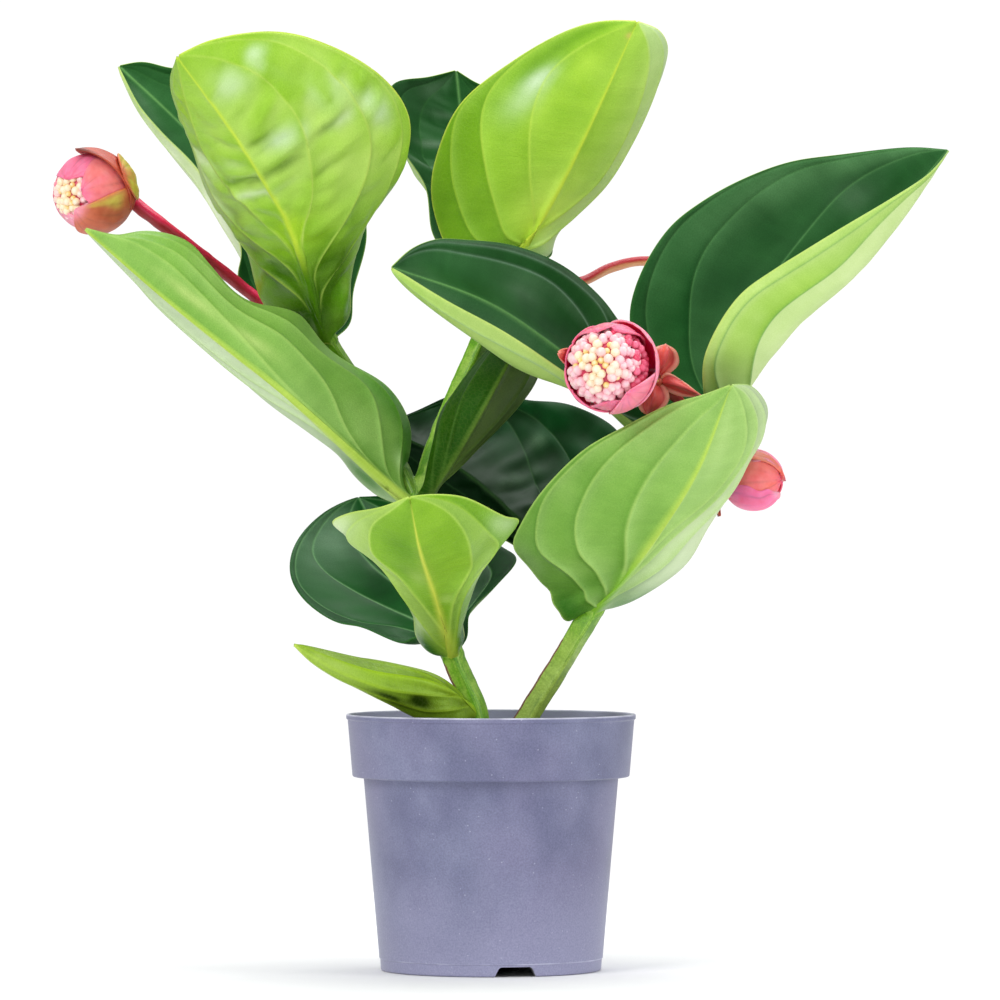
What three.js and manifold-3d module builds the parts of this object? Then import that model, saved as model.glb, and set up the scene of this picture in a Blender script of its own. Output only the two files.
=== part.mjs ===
// Medinilla (Medinilla magnifica) in a plain nursery pot.
// Millimetres, +Z up. The origin is the middle of the pot's underside, on the surface that it stands on.
// Two stems grow from the soil. Leaves stand on them in opposite pairs, and each of the three flower
// stalks ends in a head of round buds held in pink bracts.

import * as THREE from 'three';
import { mergeVertices } from 'three/addons/utils/BufferGeometryUtils.js';
import Module from 'manifold-3d';

const wasm = await Module();
wasm.setup();

// ---------- driving dimensions ----------

const POT_HEIGHT = 106;
const POT_SIDES = 40;
const RIM_RADIUS = 60;
const BAND_HEIGHT = 26;
const BAND_FOOT_RADIUS = 57.4;
const BODY_TOP_RADIUS = 52.8;
const BODY_FOOT_RADIUS = 46.3;
const FOOT_STEP_HEIGHT = 5;
const FOOT_STEP = 0.6;
const POT_WALL = 1.3;
const FLOOR_UNDERSIDE = 4.6;
const FLOOR_TOP = 6.6;
const REST_PAD_RADIUS = 12;
const FOOT_RING_WIDTH = 4;

const NOTCH_FOOT_WIDTH = 17.5;
const NOTCH_TOP_WIDTH = 12.9;
const NOTCH_HEIGHT = 4;
const NOTCH_COUNT = 3;
const FIRST_NOTCH_ANGLE = -77;

const SOIL_TOP = 92;
const SOIL_EDGE_DROP = 3;
const GAP = 0.3;

const STEM_RADIUS = 4.4;
const BRANCH_RADIUS = 3.8;
const STEM_FOOT = 72;
const STEM_SIDES = 8;
const STEM_SQUARENESS = 0.1;

const BLADE_THICKNESS = 0.9;
const LEAF_ROWS = 11;
const MIDRIB_HEIGHT = 3.2;
const MIDRIB_SPREAD = 0.09;
// places across a leaf from one margin (-1) over the midrib (0) to the other (1)
const LEAF_COLUMNS = [-1, -0.7, -0.38, -0.1, 0, 0.1, 0.38, 0.7, 1];

const BRACT_THICKNESS = 0.8;
const BRACT_ROWS = 5;
const BRACT_COLUMNS = [-1, -0.55, 0, 0.55, 1];
const BRACT_MIDRIB_HEIGHT = 0.4;
const STALK_SIDES = 8;
const GOLDEN_ANGLE = 2.39996;

// the forks where leaves and flower stalks leave the stems
const NODE_LOW_LEFT = [-16, -8, 131];
const NODE_LEFT = [-31, -2, 193];
const NODE_TOP_LEFT = [-68, 9, 261];
const NODE_TOP = [10, 15, 296];
const NODE_RIGHT = [42, 0, 149];
const NODE_TOP_RIGHT = [88, 8, 220];

// ---------- colours ----------

const LOOK = {
  pot: { color: 0x8f91b2, roughness: 0.6 },
  soil: { color: 0x3b2a1e, roughness: 0.95 },
  stem: { color: 0x6fa03a, roughness: 0.55 },
  young: { color: 0x9fcb4a, roughness: 0.4 },
  pale: { color: 0x93bf66, roughness: 0.45 },
  dark: { color: 0x1f5a35, roughness: 0.4 },
  olive: { color: 0x4f6a2a, roughness: 0.45 },
  stalk: { color: 0xc8304a, roughness: 0.45 },
  bract: { color: 0xf07a9c, roughness: 0.45 },
  bud: { color: 0xf6cfc6, roughness: 0.35 },
};

// ---------- small helpers ----------

const vec = (p) => new THREE.Vector3(p[0], p[1], p[2]);
const degrees = (angle) => (angle * Math.PI) / 180;

// Repeatable random numbers between 0 and 1.
function seeded(seed) {
  let state = seed;
  return () => {
    state = (state * 1664525 + 1013904223) % 4294967296;
    return state / 4294967296;
  };
}

// A closed three.js geometry as a solid that can be joined and cut.
function solid(geometry) {
  const bare = geometry.clone();
  bare.deleteAttribute('normal');
  bare.deleteAttribute('uv');
  const merged = mergeVertices(bare, 1e-3);
  const corners = Array.from(merged.index.array);
  const kept = [];
  for (let i = 0; i < corners.length; i += 3) {
    const [a, b, c] = corners.slice(i, i + 3);
    if (a !== b && b !== c && c !== a) kept.push(a, b, c);
  }
  return new wasm.Manifold(new wasm.Mesh({
    numProp: 3,
    vertProperties: new Float32Array(merged.attributes.position.array),
    triVerts: new Uint32Array(kept),
  }));
}

// The largest connected piece of a solid, without loose scraps.
function largest(body) {
  return body.decompose().sort((a, b) => b.volume() - a.volume())[0];
}

function join(bodies) {
  return bodies.reduce((all, body) => all.add(body));
}

function toMesh(name, body, look) {
  const mesh = body.getMesh();
  const geometry = new THREE.BufferGeometry();
  geometry.setAttribute('position', new THREE.BufferAttribute(new Float32Array(mesh.vertProperties), 3));
  geometry.setIndex(Array.from(mesh.triVerts));
  geometry.computeVertexNormals();
  const material = new THREE.MeshStandardMaterial({ ...look, metalness: 0, side: THREE.FrontSide });
  const result = new THREE.Mesh(geometry, material);
  result.name = name;
  return result;
}

// ---------- surfaces ----------

// A thin closed blade from a grid of middle points. Both faces are split into triangles alike.
// above and below give how far each face stands off the middle surface at row i, column j.
function bladeGeometry(grid, above, below) {
  const rows = grid.length - 1;
  const columns = grid[0].length - 1;
  const normalAt = (i, j) => {
    const row = Math.min(Math.max(i, 1), rows - 1);
    const along = grid[row + 1][j].clone().sub(grid[row - 1][j]);
    const left = grid[row][Math.max(j - 1, 0)];
    const right = grid[row][Math.min(j + 1, columns)];
    return along.cross(right.clone().sub(left)).normalize();
  };
  const positions = [];
  const push = (point) => positions.push(point.x, point.y, point.z);
  for (const [offset, sign] of [[above, 1], [below, -1]]) {
    for (let i = 0; i <= rows; i++) {
      const atEnd = i === 0 || i === rows;
      for (let j = 0; j <= columns; j++) {
        const column = atEnd ? Math.floor(columns / 2) : j;
        push(grid[i][column].clone().addScaledVector(normalAt(i, column), sign * offset(i, column)));
      }
    }
  }
  const lower = (rows + 1) * (columns + 1);
  const at = (i, j) => i * (columns + 1) + j;
  const index = [];
  for (let i = 0; i < rows; i++) {
    for (let j = 0; j < columns; j++) {
      const [a, b, c, d] = [at(i, j), at(i + 1, j), at(i + 1, j + 1), at(i, j + 1)];
      index.push(a, b, c, a, c, d);
      index.push(lower + a, lower + c, lower + b, lower + a, lower + d, lower + c);
    }
  }
  const wall = (p, q) => index.push(p, lower + p, lower + q, p, lower + q, q);
  for (let i = 0; i < rows; i++) {
    wall(at(i + 1, columns), at(i, columns));
    wall(at(i, 0), at(i + 1, 0));
  }
  for (let j = 0; j < columns; j++) {
    wall(at(0, j + 1), at(0, j));
    wall(at(rows, j), at(rows, j + 1));
  }
  const geometry = new THREE.BufferGeometry();
  geometry.setAttribute('position', new THREE.Float32BufferAttribute(positions, 3));
  geometry.setIndex(index);
  return geometry;
}

const smoothCurve = (points) => new THREE.CatmullRomCurve3(points, false, 'centripetal');
const evenly = (points, count) => smoothCurve(points).getSpacedPoints(count);

// The middle surface of a leaf: rows between its two margins over the midrib.
// Each half sags away from the upper side by its own amount.
function leafGrid(leaf, rows, columns) {
  const rib = leaf.rib.map(vec);
  const ends = (margin) => [rib[0], ...margin.map(vec), rib[rib.length - 1]];
  const middle = evenly(rib, rows);
  const sides = [evenly(ends(leaf.left), rows), evenly(ends(leaf.right), rows)];
  return middle.map((point, i) => {
    const inner = Math.min(Math.max(i, 1), rows - 1);
    const along = middle[Math.min(i + 1, rows)].clone().sub(middle[Math.max(i - 1, 0)]);
    const depth = 4 * Math.max(0, Math.sin((Math.PI * i) / rows)) ** 0.7;
    return columns.map((v) => {
      const side = v < 0 ? 0 : 1;
      const across = sides[side][i].clone().sub(point);
      const span = sides[side][inner].clone().sub(middle[inner]);
      const up = along.clone().cross(span).multiplyScalar(side ? 1 : -1).normalize();
      const s = Math.abs(v);
      const sag = leaf.sag[side] * depth * s * (1 - s);
      return point.clone().addScaledVector(across, s).addScaledVector(up, -sag);
    });
  });
}

function leafSolid(leaf, rows = LEAF_ROWS, columns = LEAF_COLUMNS, midrib = MIDRIB_HEIGHT) {
  const half = BLADE_THICKNESS / 2;
  const rib = (i, j) => midrib * (1 - i / rows) ** 1.2 * Math.exp(-((columns[j] / MIDRIB_SPREAD) ** 2));
  return solid(bladeGeometry(leafGrid(leaf, rows, columns), () => half, (i, j) => half + rib(i, j)));
}

// A solid rod through points, with a radius at each of them. squareness raises four edges on it.
function rod(points, radii, sides, squareness = 0, stepLength = 9, grow = 0) {
  const curve = smoothCurve(points.map(vec));
  const steps = Math.max(3, Math.round(curve.getLength() / stepLength));
  const frames = curve.computeFrenetFrames(steps, false);
  const positions = [];
  const radiusAt = (t) => {
    const place = t * (radii.length - 1);
    const i = Math.min(Math.floor(place), radii.length - 2);
    return radii[i] + (radii[i + 1] - radii[i]) * (place - i) + grow;
  };
  for (let i = 0; i <= steps; i++) {
    const pushed = i === 0 ? -grow : grow * (i === steps);
    const centre = curve.getPointAt(i / steps).addScaledVector(frames.tangents[i], pushed);
    for (let j = 0; j < sides; j++) {
      const angle = (2 * Math.PI * j) / sides;
      const radius = radiusAt(i / steps) * (1 + squareness * Math.cos(4 * angle));
      const point = centre.clone()
        .addScaledVector(frames.normals[i], radius * Math.cos(angle))
        .addScaledVector(frames.binormals[i], radius * Math.sin(angle));
      positions.push(point.x, point.y, point.z);
    }
  }
  const index = [];
  for (let i = 0; i < steps; i++) {
    for (let j = 0; j < sides; j++) {
      const a = i * sides + j;
      const b = i * sides + ((j + 1) % sides);
      index.push(a, b, b + sides, a, b + sides, a + sides);
    }
  }
  for (let j = 1; j < sides - 1; j++) {
    index.push(0, j + 1, j);
    index.push(steps * sides, steps * sides + j, steps * sides + j + 1);
  }
  const geometry = new THREE.BufferGeometry();
  geometry.setAttribute('position', new THREE.Float32BufferAttribute(positions, 3));
  geometry.setIndex(index);
  return solid(geometry);
}

function ball(centre, radius, detail = 1) {
  const geometry = new THREE.IcosahedronGeometry(radius, detail);
  geometry.translate(...centre);
  return solid(geometry);
}

// ---------- pot ----------

const lathe = (outline) => solid(new THREE.LatheGeometry(
  outline.map(([radius, height]) => new THREE.Vector2(radius, height)),
  POT_SIDES,
).rotateX(Math.PI / 2));

const bandFoot = POT_HEIGHT - BAND_HEIGHT;

function potSolid() {
  const footInner = BODY_FOOT_RADIUS - FOOT_STEP - FOOT_RING_WIDTH;
  const shell = lathe([
    [0, 0],
    [REST_PAD_RADIUS, 0],
    [REST_PAD_RADIUS + 1.5, FLOOR_UNDERSIDE],
    [footInner - 1.5, FLOOR_UNDERSIDE],
    [footInner, 0],
    [BODY_FOOT_RADIUS - FOOT_STEP - 0.6, 0],
    [BODY_FOOT_RADIUS - FOOT_STEP, 0.8],
    [BODY_FOOT_RADIUS - FOOT_STEP + 0.2, FOOT_STEP_HEIGHT - 0.3],
    [BODY_FOOT_RADIUS, FOOT_STEP_HEIGHT],
    [BODY_TOP_RADIUS, bandFoot],
    [BAND_FOOT_RADIUS - 0.6, bandFoot],
    [BAND_FOOT_RADIUS, bandFoot + 0.8],
    [RIM_RADIUS - 0.6, POT_HEIGHT - 2.4],
    [RIM_RADIUS, POT_HEIGHT - 1.8],
    [RIM_RADIUS, POT_HEIGHT - 0.4],
    [RIM_RADIUS - 0.5, POT_HEIGHT],
    [RIM_RADIUS - POT_WALL - 0.2, POT_HEIGHT],
    [BAND_FOOT_RADIUS - POT_WALL, bandFoot + 3],
    [BODY_TOP_RADIUS - POT_WALL, bandFoot],
    [BODY_FOOT_RADIUS - POT_WALL, FLOOR_TOP],
    [0, FLOOR_TOP],
  ]);
  const notches = [];
  for (let i = 0; i < NOTCH_COUNT; i++) {
    const outline = new THREE.Shape([
      new THREE.Vector2(-NOTCH_FOOT_WIDTH / 2, -1),
      new THREE.Vector2(NOTCH_FOOT_WIDTH / 2, -1),
      new THREE.Vector2(NOTCH_TOP_WIDTH / 2, NOTCH_HEIGHT),
      new THREE.Vector2(-NOTCH_TOP_WIDTH / 2, NOTCH_HEIGHT),
    ]);
    const wedge = new THREE.ExtrudeGeometry(outline, { depth: 14, bevelEnabled: false });
    wedge.rotateX(Math.PI / 2);
    wedge.rotateZ(Math.PI / 2);
    wedge.translate(BODY_FOOT_RADIUS - 9, 0, 0);
    wedge.rotateZ(degrees(FIRST_NOTCH_ANGLE + (360 * i) / NOTCH_COUNT));
    notches.push(solid(wedge));
  }
  return notches.reduce((body, notch) => body.subtract(notch), shell);
}

// ---------- stems ----------

// each stem and branch: its path from the soil, and the radius at each point
const RIGHT_STEM = {
  path: [[7, 8, STEM_FOOT], [9.5, 8, 94], [16, 6, 106], [29, 3, 127], NODE_RIGHT, [64, 6, 184],
    NODE_TOP_RIGHT],
  radii: [STEM_RADIUS, STEM_RADIUS, STEM_RADIUS, STEM_RADIUS, 4.3, 4, BRANCH_RADIUS],
};
const LEFT_STEM = {
  path: [[-5, -6, STEM_FOOT], [-5, -7, 94], [-6, -8, 107], NODE_LOW_LEFT, [-23, -6, 166], NODE_LEFT],
  radii: [STEM_RADIUS, STEM_RADIUS, STEM_RADIUS, STEM_RADIUS, 4.2, 4.2],
};
const TOP_BRANCH = {
  path: [NODE_LEFT, [-20, 12, 225], [-5, 22, 260], NODE_TOP],
  radii: [BRANCH_RADIUS, BRANCH_RADIUS, BRANCH_RADIUS, 3.6],
};
const LEFT_BRANCH = {
  path: [NODE_LEFT, [-49, 14, 230], NODE_TOP_LEFT],
  radii: [BRANCH_RADIUS, BRANCH_RADIUS, 3.6],
};

const KNUCKLES = {
  left: [[NODE_LOW_LEFT, 5.4], [NODE_LEFT, 5.8], [NODE_TOP_LEFT, 4.8], [NODE_TOP, 4.8]],
  right: [[NODE_RIGHT, 5.4], [NODE_TOP_RIGHT, 5]],
};

function stemSolid(parts, knuckles, grow = 0) {
  const rods = parts.map(({ path, radii }) => rod(path, radii, STEM_SIDES, STEM_SQUARENESS, 11, grow));
  const swellings = knuckles.map(([centre, radius]) => ball(centre, radius + grow));
  return join([...rods, ...swellings]);
}

const leftStem = stemSolid([LEFT_STEM, TOP_BRANCH, LEFT_BRANCH], KNUCKLES.left);
const rightStem = stemSolid([RIGHT_STEM], KNUCKLES.right);
const stemRoom = stemSolid([LEFT_STEM, TOP_BRANCH, LEFT_BRANCH], KNUCKLES.left, GAP)
  .add(stemSolid([RIGHT_STEM], KNUCKLES.right, GAP));

// ---------- soil ----------

// Soil fills the pot and both stems stand in holes in it.
function soilSolid() {
  const clear = POT_WALL + GAP;
  const edge = SOIL_TOP - SOIL_EDGE_DROP;
  const slope = (RIM_RADIUS - BAND_FOOT_RADIUS - 0.6) / (BAND_HEIGHT - 6);
  const edgeRadius = BAND_FOOT_RADIUS - clear + slope * (edge - bandFoot - 3);
  const bed = lathe([
    [0, FLOOR_TOP + GAP],
    [BODY_FOOT_RADIUS - clear, FLOOR_TOP + GAP],
    [BODY_TOP_RADIUS - clear - 0.1, bandFoot],
    [BAND_FOOT_RADIUS - clear - 0.1, bandFoot + 3.1],
    [edgeRadius - 0.2, edge],
    [38, edge + 2.2],
    [18, SOIL_TOP],
    [0, SOIL_TOP - 0.5],
  ]);
  return bed.subtract(stemRoom);
}

// ---------- leaves ----------

// rib: base, two points on the midrib, tip. left and right: the margins from base to tip, as they lie
// when the upper side is seen with the tip pointing away. sag: how far each half swells below.
const LEAVES = [
  {
    name: 'leaf_top_left', look: LOOK.young, sag: [8, 8],
    rib: [[-69, 7, 261], [-81.5, -24, 304.5], [-102, -52, 340], [-126.5, -72, 374]],
    left: [[-86, 10, 268], [-95, 14, 278], [-101.5, 20, 298.5], [-108.5, 18, 310.5], [-118, 8, 325],
      [-123, -8, 342], [-130, -42, 364]],
    right: [[-59, 8, 270], [-58, 8, 286], [-52, 4, 308], [-37, -12, 331], [-33, -28, 351.5],
      [-47.5, -48, 370], [-82, -64, 384], [-111, -71, 381]],
  },
  {
    name: 'leaf_top_left_back', look: LOOK.dark, sag: [8, 9],
    rib: [[-67, 12, 261], [-91.5, 56, 304], [-126.5, 80, 348.5], [-159, 84, 380]],
    left: [[-59, 18, 268], [-58, 26, 281.5], [-52.5, 40, 307.5], [-61.5, 56, 338], [-85, 72, 367.5],
      [-113.5, 82, 379], [-136.5, 86, 379], [-149, 86, 382]],
    right: [[-74.5, 25, 267.5], [-95.5, 33, 277.5], [-105.5, 36, 286.5], [-104.5, 38, 299.5],
      [-111.5, 38, 314.5], [-124, 44, 334], [-140, 56, 351], [-149.5, 68, 362.5]],
  },
  {
    name: 'leaf_top_middle_back', look: LOOK.dark, sag: [6, 10],
    rib: [[10, 19, 296.5], [-1, 48, 319], [-11, 72, 347.5], [-15, 84, 378]],
    left: [[25, 29, 296.5], [26, 35, 305.5], [36, 48, 325], [33.5, 61, 346.5], [17, 74, 365],
      [-5, 82, 372]],
    right: [[-15, 22, 295.5], [-24, 30, 305.5], [-27, 42, 327], [-36.5, 50, 342], [-44.5, 62, 356.5],
      [-41.5, 76, 372], [-26.5, 82, 375]],
  },
  {
    name: 'leaf_top_middle', look: LOOK.young, sag: [8, 8],
    rib: [[10, 12, 296], [26, -2, 321], [44, -16, 356.5], [60, -22, 391.5]],
    left: [[-15, 12, 296], [-23, 12, 311], [-25, 8, 324], [-23, 4, 336], [-13, -4, 358],
      [10, -12, 376.5], [33, -18, 388.5], [46, -21, 391.5]],
    right: [[24, 18, 296.5], [27, 26, 307.5], [34, 32, 315.5], [48, 32, 329.5], [58, 26, 345.5],
      [66, 16, 360.5], [71, 6, 372], [73, -4, 382], [69, -14, 388.5]],
  },
  {
    name: 'leaf_centre', look: LOOK.dark, sag: [8, 14],
    rib: [[88, 8, 220], [45, -8, 245], [1, -30, 274.5], [-40.5, -46, 289.5]],
    left: [[82.5, 25, 226], [70.5, 38, 245.5], [62.5, 36, 259.5], [54, 30, 269.5], [47, 24, 278.5],
      [30, 8, 292], [9, -8, 300], [-11, -24, 301.5], [-22, -31, 301.5], [-32, -38, 297.5],
      [-38.5, -44, 291.5]],
    right: [[82, 0, 215], [61, -20, 225], [31, -42, 246.5], [9, -56, 260.5], [-18, -64, 276],
      [-31.5, -58, 284]],
  },
  {
    name: 'leaf_right', look: LOOK.dark, sag: [13, 16],
    rib: [[90, 6, 221], [119, 2, 265], [154, 2, 302], [190, 4, 340]],
    left: [[88, -18, 234], [87.5, -40, 254.5], [100.5, -50, 277.5], [115, -50, 288.5],
      [128, -48, 296.5], [143, -42, 305.5], [164.5, -28, 318.5], [179.5, -14, 328.5], [185, -6, 334]],
    right: [[79, 14, 228], [67, 22, 245], [58, 24, 268], [61, 22, 285.5], [74, 20, 307.5],
      [89, 20, 319.5], [105.5, 20, 328.5], [124.5, 20, 335.5], [145.5, 18, 338.5], [174.5, 12, 341.5]],
  },
  {
    name: 'leaf_middle_back', look: LOOK.dark, sag: [6, 6],
    rib: [[42, 2, 149], [12, 38, 186], [-18, 62, 211], [-48.5, 80, 226.5]],
    left: [[46, 14, 161], [53.5, 40, 186], [57.5, 62, 210], [53.5, 76, 224.5], [33.5, 88, 235.5],
      [14, 92, 237.5], [-5, 94, 242.5], [-19.5, 92, 238.5], [-32.5, 88, 232.5]],
    right: [[35, 14, 152], [23, 22, 158], [6, 36, 173], [-15, 54, 185], [-32.5, 70, 199],
      [-45.5, 80, 214]],
  },
  {
    name: 'leaf_right_front', look: LOOK.pale, sag: [6, 8],
    rib: [[42, -2, 150], [65, -28, 177], [84.5, -46, 208], [97.5, -54, 241.5]],
    left: [[31, -2, 147], [24, -4, 154], [16, -10, 167], [9, -16, 176], [12, -20, 184], [20, -28, 197],
      [38, -40, 215], [53.5, -47, 224], [72.5, -52, 233.5], [86.5, -54, 237.5]],
    right: [[49, 4, 150], [62, 10, 154], [81, 14, 167], [90, 12, 184], [102, 2, 203], [107, -8, 215],
      [112.5, -18, 224], [113.5, -30, 233], [105.5, -46, 241.5]],
  },
  {
    name: 'leaf_centre_upright', look: LOOK.olive, sag: [4, 4],
    rib: [[-29, -4, 194], [-12, -14, 218], [2, -14, 242], [16, 6, 269]],
    left: [[-27, -7, 206], [-24, -6, 219], [-21, -2, 231], [-11, 4, 245], [0, 8, 258], [8, 8, 266]],
    right: [[-20, -2, 204], [-10, 8, 215], [4, 22, 228], [11, 26, 235], [19, 28, 245], [23, 24, 258]],
  },
  {
    name: 'leaf_left', look: LOOK.pale, sag: [6, 8],
    rib: [[-33, -4, 192], [-83.5, -34, 234], [-124, -46, 268.5], [-166, -40, 305.5]],
    left: [[-44, -2, 195], [-52, 6, 200], [-58, 8, 206], [-63, 8, 213], [-76, 6, 223], [-93, 4, 235],
      [-113, -2, 253], [-127, -8, 266], [-138.5, -14, 277], [-147.5, -22, 287.5], [-156.5, -32, 296.5]],
    right: [[-37, 2, 201], [-34, 12, 215], [-34, 12, 226], [-42, 6, 241], [-67, -8, 257],
      [-79, -12, 271], [-86, -13, 273], [-99, -15, 275], [-106.5, -18, 280], [-116.5, -24, 292.5],
      [-124.5, -28, 300.5], [-141.5, -33, 304.5], [-153, -37, 302.5]],
  },
  {
    name: 'leaf_front', look: LOOK.young, sag: [6, 6],
    rib: [[-16, -9, 131], [-22, -52, 153.5], [-28.5, -84, 175], [-32.5, -96, 196]],
    left: [[-23, -18, 137], [-29, -34, 150], [-41.5, -58, 164.5], [-49.5, -70, 176], [-64.5, -72, 185],
      [-58.5, -80, 189], [-43.5, -92, 192]],
    right: [[-11, -16, 137], [-12, -28, 146], [-6, -50, 162], [3, -64, 175], [12, -66, 186],
      [6, -76, 188], [-11, -92, 196], [-22.5, -96, 197]],
  },
  {
    name: 'leaf_low_back', look: LOOK.dark, sag: [6, 6],
    rib: [[-16, -6, 131], [-31, 35, 153], [-45.5, 72, 175], [-57, 96, 196]],
    left: [[-10, 2, 137], [-9, 10, 147], [2, 34, 158], [11, 52, 169], [4, 70, 175], [-17.5, 88, 188],
      [-39.5, 96, 196]],
    right: [[-31, 6, 138], [-37, 12, 135], [-55, 24, 142], [-65.5, 34, 144], [-78.5, 48, 152.5],
      [-84.5, 58, 161.5], [-85, 68, 171], [-81, 78, 180], [-72, 88, 189], [-63, 94, 194]],
  },
  {
    name: 'leaf_lowest', look: LOOK.young, sag: [3, 3],
    rib: [[-7, -9, 106], [-24, -26, 118.5], [-50.5, -38, 124.5], [-80.5, -44, 135.5]],
    left: [[-15, -20, 101.5], [-29, -24, 104.5], [-42, -30, 111.5], [-53.5, -36, 117.5],
      [-64.5, -40, 122.5], [-73.5, -43, 128.5]],
    right: [[-8, -4, 111], [-16, -2, 116], [-26, -2, 121], [-38, -6, 124], [-51, -16, 127],
      [-62, -26, 129], [-75.5, -40, 133.5]],
  },
];

// ---------- flower heads ----------

// centre, radius and the way that the head opens; the stalk joins it at the opposite side
const LEFT_HEAD = { centre: [-164.5, -14, 321.5], radius: 15.5, opens: [-0.62, -0.77, -0.15] };
const CENTRE_HEAD = { centre: [48.5, -60, 248.5], radius: 18, opens: [-0.25, -0.95, 0.1] };
const RIGHT_HEAD = { centre: [109.5, 24, 203], radius: 12, opens: [0.93, -0.3, 0] };

function headFrame(head) {
  const axis = vec(head.opens).normalize();
  const side = axis.clone().cross(new THREE.Vector3(0, 0, 1)).normalize();
  const up = side.clone().cross(axis);
  return { centre: vec(head.centre), axis, side, up };
}

// A point round a head: lean is the angle from the stalk end, turn the angle round the axis.
function onHead(head, radius, lean, turn) {
  const { centre, axis, side, up } = headFrame(head);
  const ring = side.clone().multiplyScalar(Math.cos(turn)).addScaledVector(up, Math.sin(turn));
  return centre.clone()
    .addScaledVector(axis, -radius * Math.cos(lean))
    .addScaledVector(ring, radius * Math.sin(lean));
}

// Where a stalk meets its head.
const footOf = (head) => onHead(head, head.radius + 0.4, 0, 0).toArray();

// One bract: a cupped blade that starts at the stalk end and wraps up round the head.
// turn: where it stands round the axis; reach: how far it climbs; spread: its half width in degrees
// at its widest; flare: how far its tip leans out.
function bractSolid(head, { turn, reach, spread, lift = 0, flare = 0 }) {
  const start = 6;
  const grid = [];
  for (let i = 0; i <= BRACT_ROWS; i++) {
    const t = i / BRACT_ROWS;
    const lean = degrees(start + (reach - start) * t);
    const radius = head.radius + lift + flare * t ** 4;
    const outline = Math.min(1, 2.2 * t ** 0.6) * (1 - t ** 3.2) ** 0.6;
    const turnAt = (v) => degrees(turn + v * spread * outline);
    grid.push(BRACT_COLUMNS.map((v) => onHead(head, radius, lean, turnAt(v))));
  }
  const half = BRACT_THICKNESS / 2;
  return solid(bladeGeometry(grid, () => half, () => half));
}

// The bracts of a head, joined by a small knob round the end of the stalk.
function bractCup(head, bracts) {
  const knob = ball(onHead(head, head.radius, 0, 0).toArray(), 3.6);
  return join([knob, ...bracts.map((bract) => bractSolid(head, bract))]);
}

// Round flower buds stand out of a small domed core, spread evenly by the golden angle over the side
// that is open. shift moves the core towards that side; openAngle is how far the buds spread from its
// middle, in degrees.
function budCluster(head, { coreRadius, shift, budRadius, count, openAngle, seed }) {
  const random = seeded(seed);
  const { centre, axis } = headFrame(head);
  const core = centre.clone().addScaledVector(axis, shift);
  const shifted = { ...head, centre: core.toArray() };
  const pieces = [ball(core.toArray(), coreRadius, 1)];
  const foot = onHead(head, head.radius - 4.2, 0, 0).toArray();
  pieces.push(rod([foot, core.toArray()], [3, 3], 6, 0, 20));
  for (let i = 0; i < count; i++) {
    const lean = Math.PI - Math.acos(1 - ((i + 0.5) / count) * (1 - Math.cos(degrees(openAngle))));
    const turn = i * GOLDEN_ANGLE;
    const radius = budRadius * (0.9 + 0.2 * random());
    const place = onHead(shifted, coreRadius * 0.96 + radius * 0.3, lean, turn);
    pieces.push(ball(place.toArray(), radius, 0));
  }
  return join(pieces);
}

const LEFT_BRACTS = [
  { turn: 100, reach: 146, spread: 62 },
  { turn: 10, reach: 132, spread: 60, lift: 0.5 },
  { turn: 190, reach: 138, spread: 62, lift: 0.3 },
  { turn: 280, reach: 140, spread: 62 },
  { turn: 60, reach: 104, spread: 50, lift: 2.4, flare: 5 },
  { turn: 200, reach: 96, spread: 52, lift: 2.4, flare: 2 },
];
const CENTRE_BRACTS = [
  { turn: 20, reach: 118, spread: 66 },
  { turn: 110, reach: 118, spread: 62, lift: 0.4 },
  { turn: 200, reach: 108, spread: 62 },
  { turn: 290, reach: 116, spread: 66, lift: 0.4 },
  { turn: 172, reach: 92, spread: 24, lift: 1, flare: 4 },
];
const RIGHT_BRACTS = [
  { turn: 90, reach: 168, spread: 70, lift: 0.2 },
  { turn: 210, reach: 166, spread: 70 },
  { turn: 330, reach: 166, spread: 70, lift: 0.4 },
];

// the three small bracts where the centre stalk has a joint
const CENTRE_WHORL = [
  { rib: [[67.5, -31, 244], [70.5, -38, 249.5], [72.5, -38, 255.5], [71.5, -32, 258.5]],
    left: [[63.5, -34, 248.5], [66.5, -36, 255.5]],
    right: [[73.5, -31, 247], [77.5, -33, 252.5]],
    sag: [2, 2] },
  { rib: [[67.5, -31, 243], [66.5, -38, 239], [65.5, -38, 233], [64.5, -32, 229]],
    left: [[72.5, -33, 240], [72.5, -34, 233]],
    right: [[61.5, -32, 239], [60.5, -33, 234]],
    sag: [2, 2] },
  { rib: [[68.5, -31, 243], [74.5, -36, 242], [80.5, -37, 240], [86.5, -35, 237]],
    left: [[71.5, -35, 246.5], [78.5, -33, 243]],
    right: [[72.5, -31, 239], [78.5, -32, 237]],
    sag: [2, 2] },
];

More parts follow.
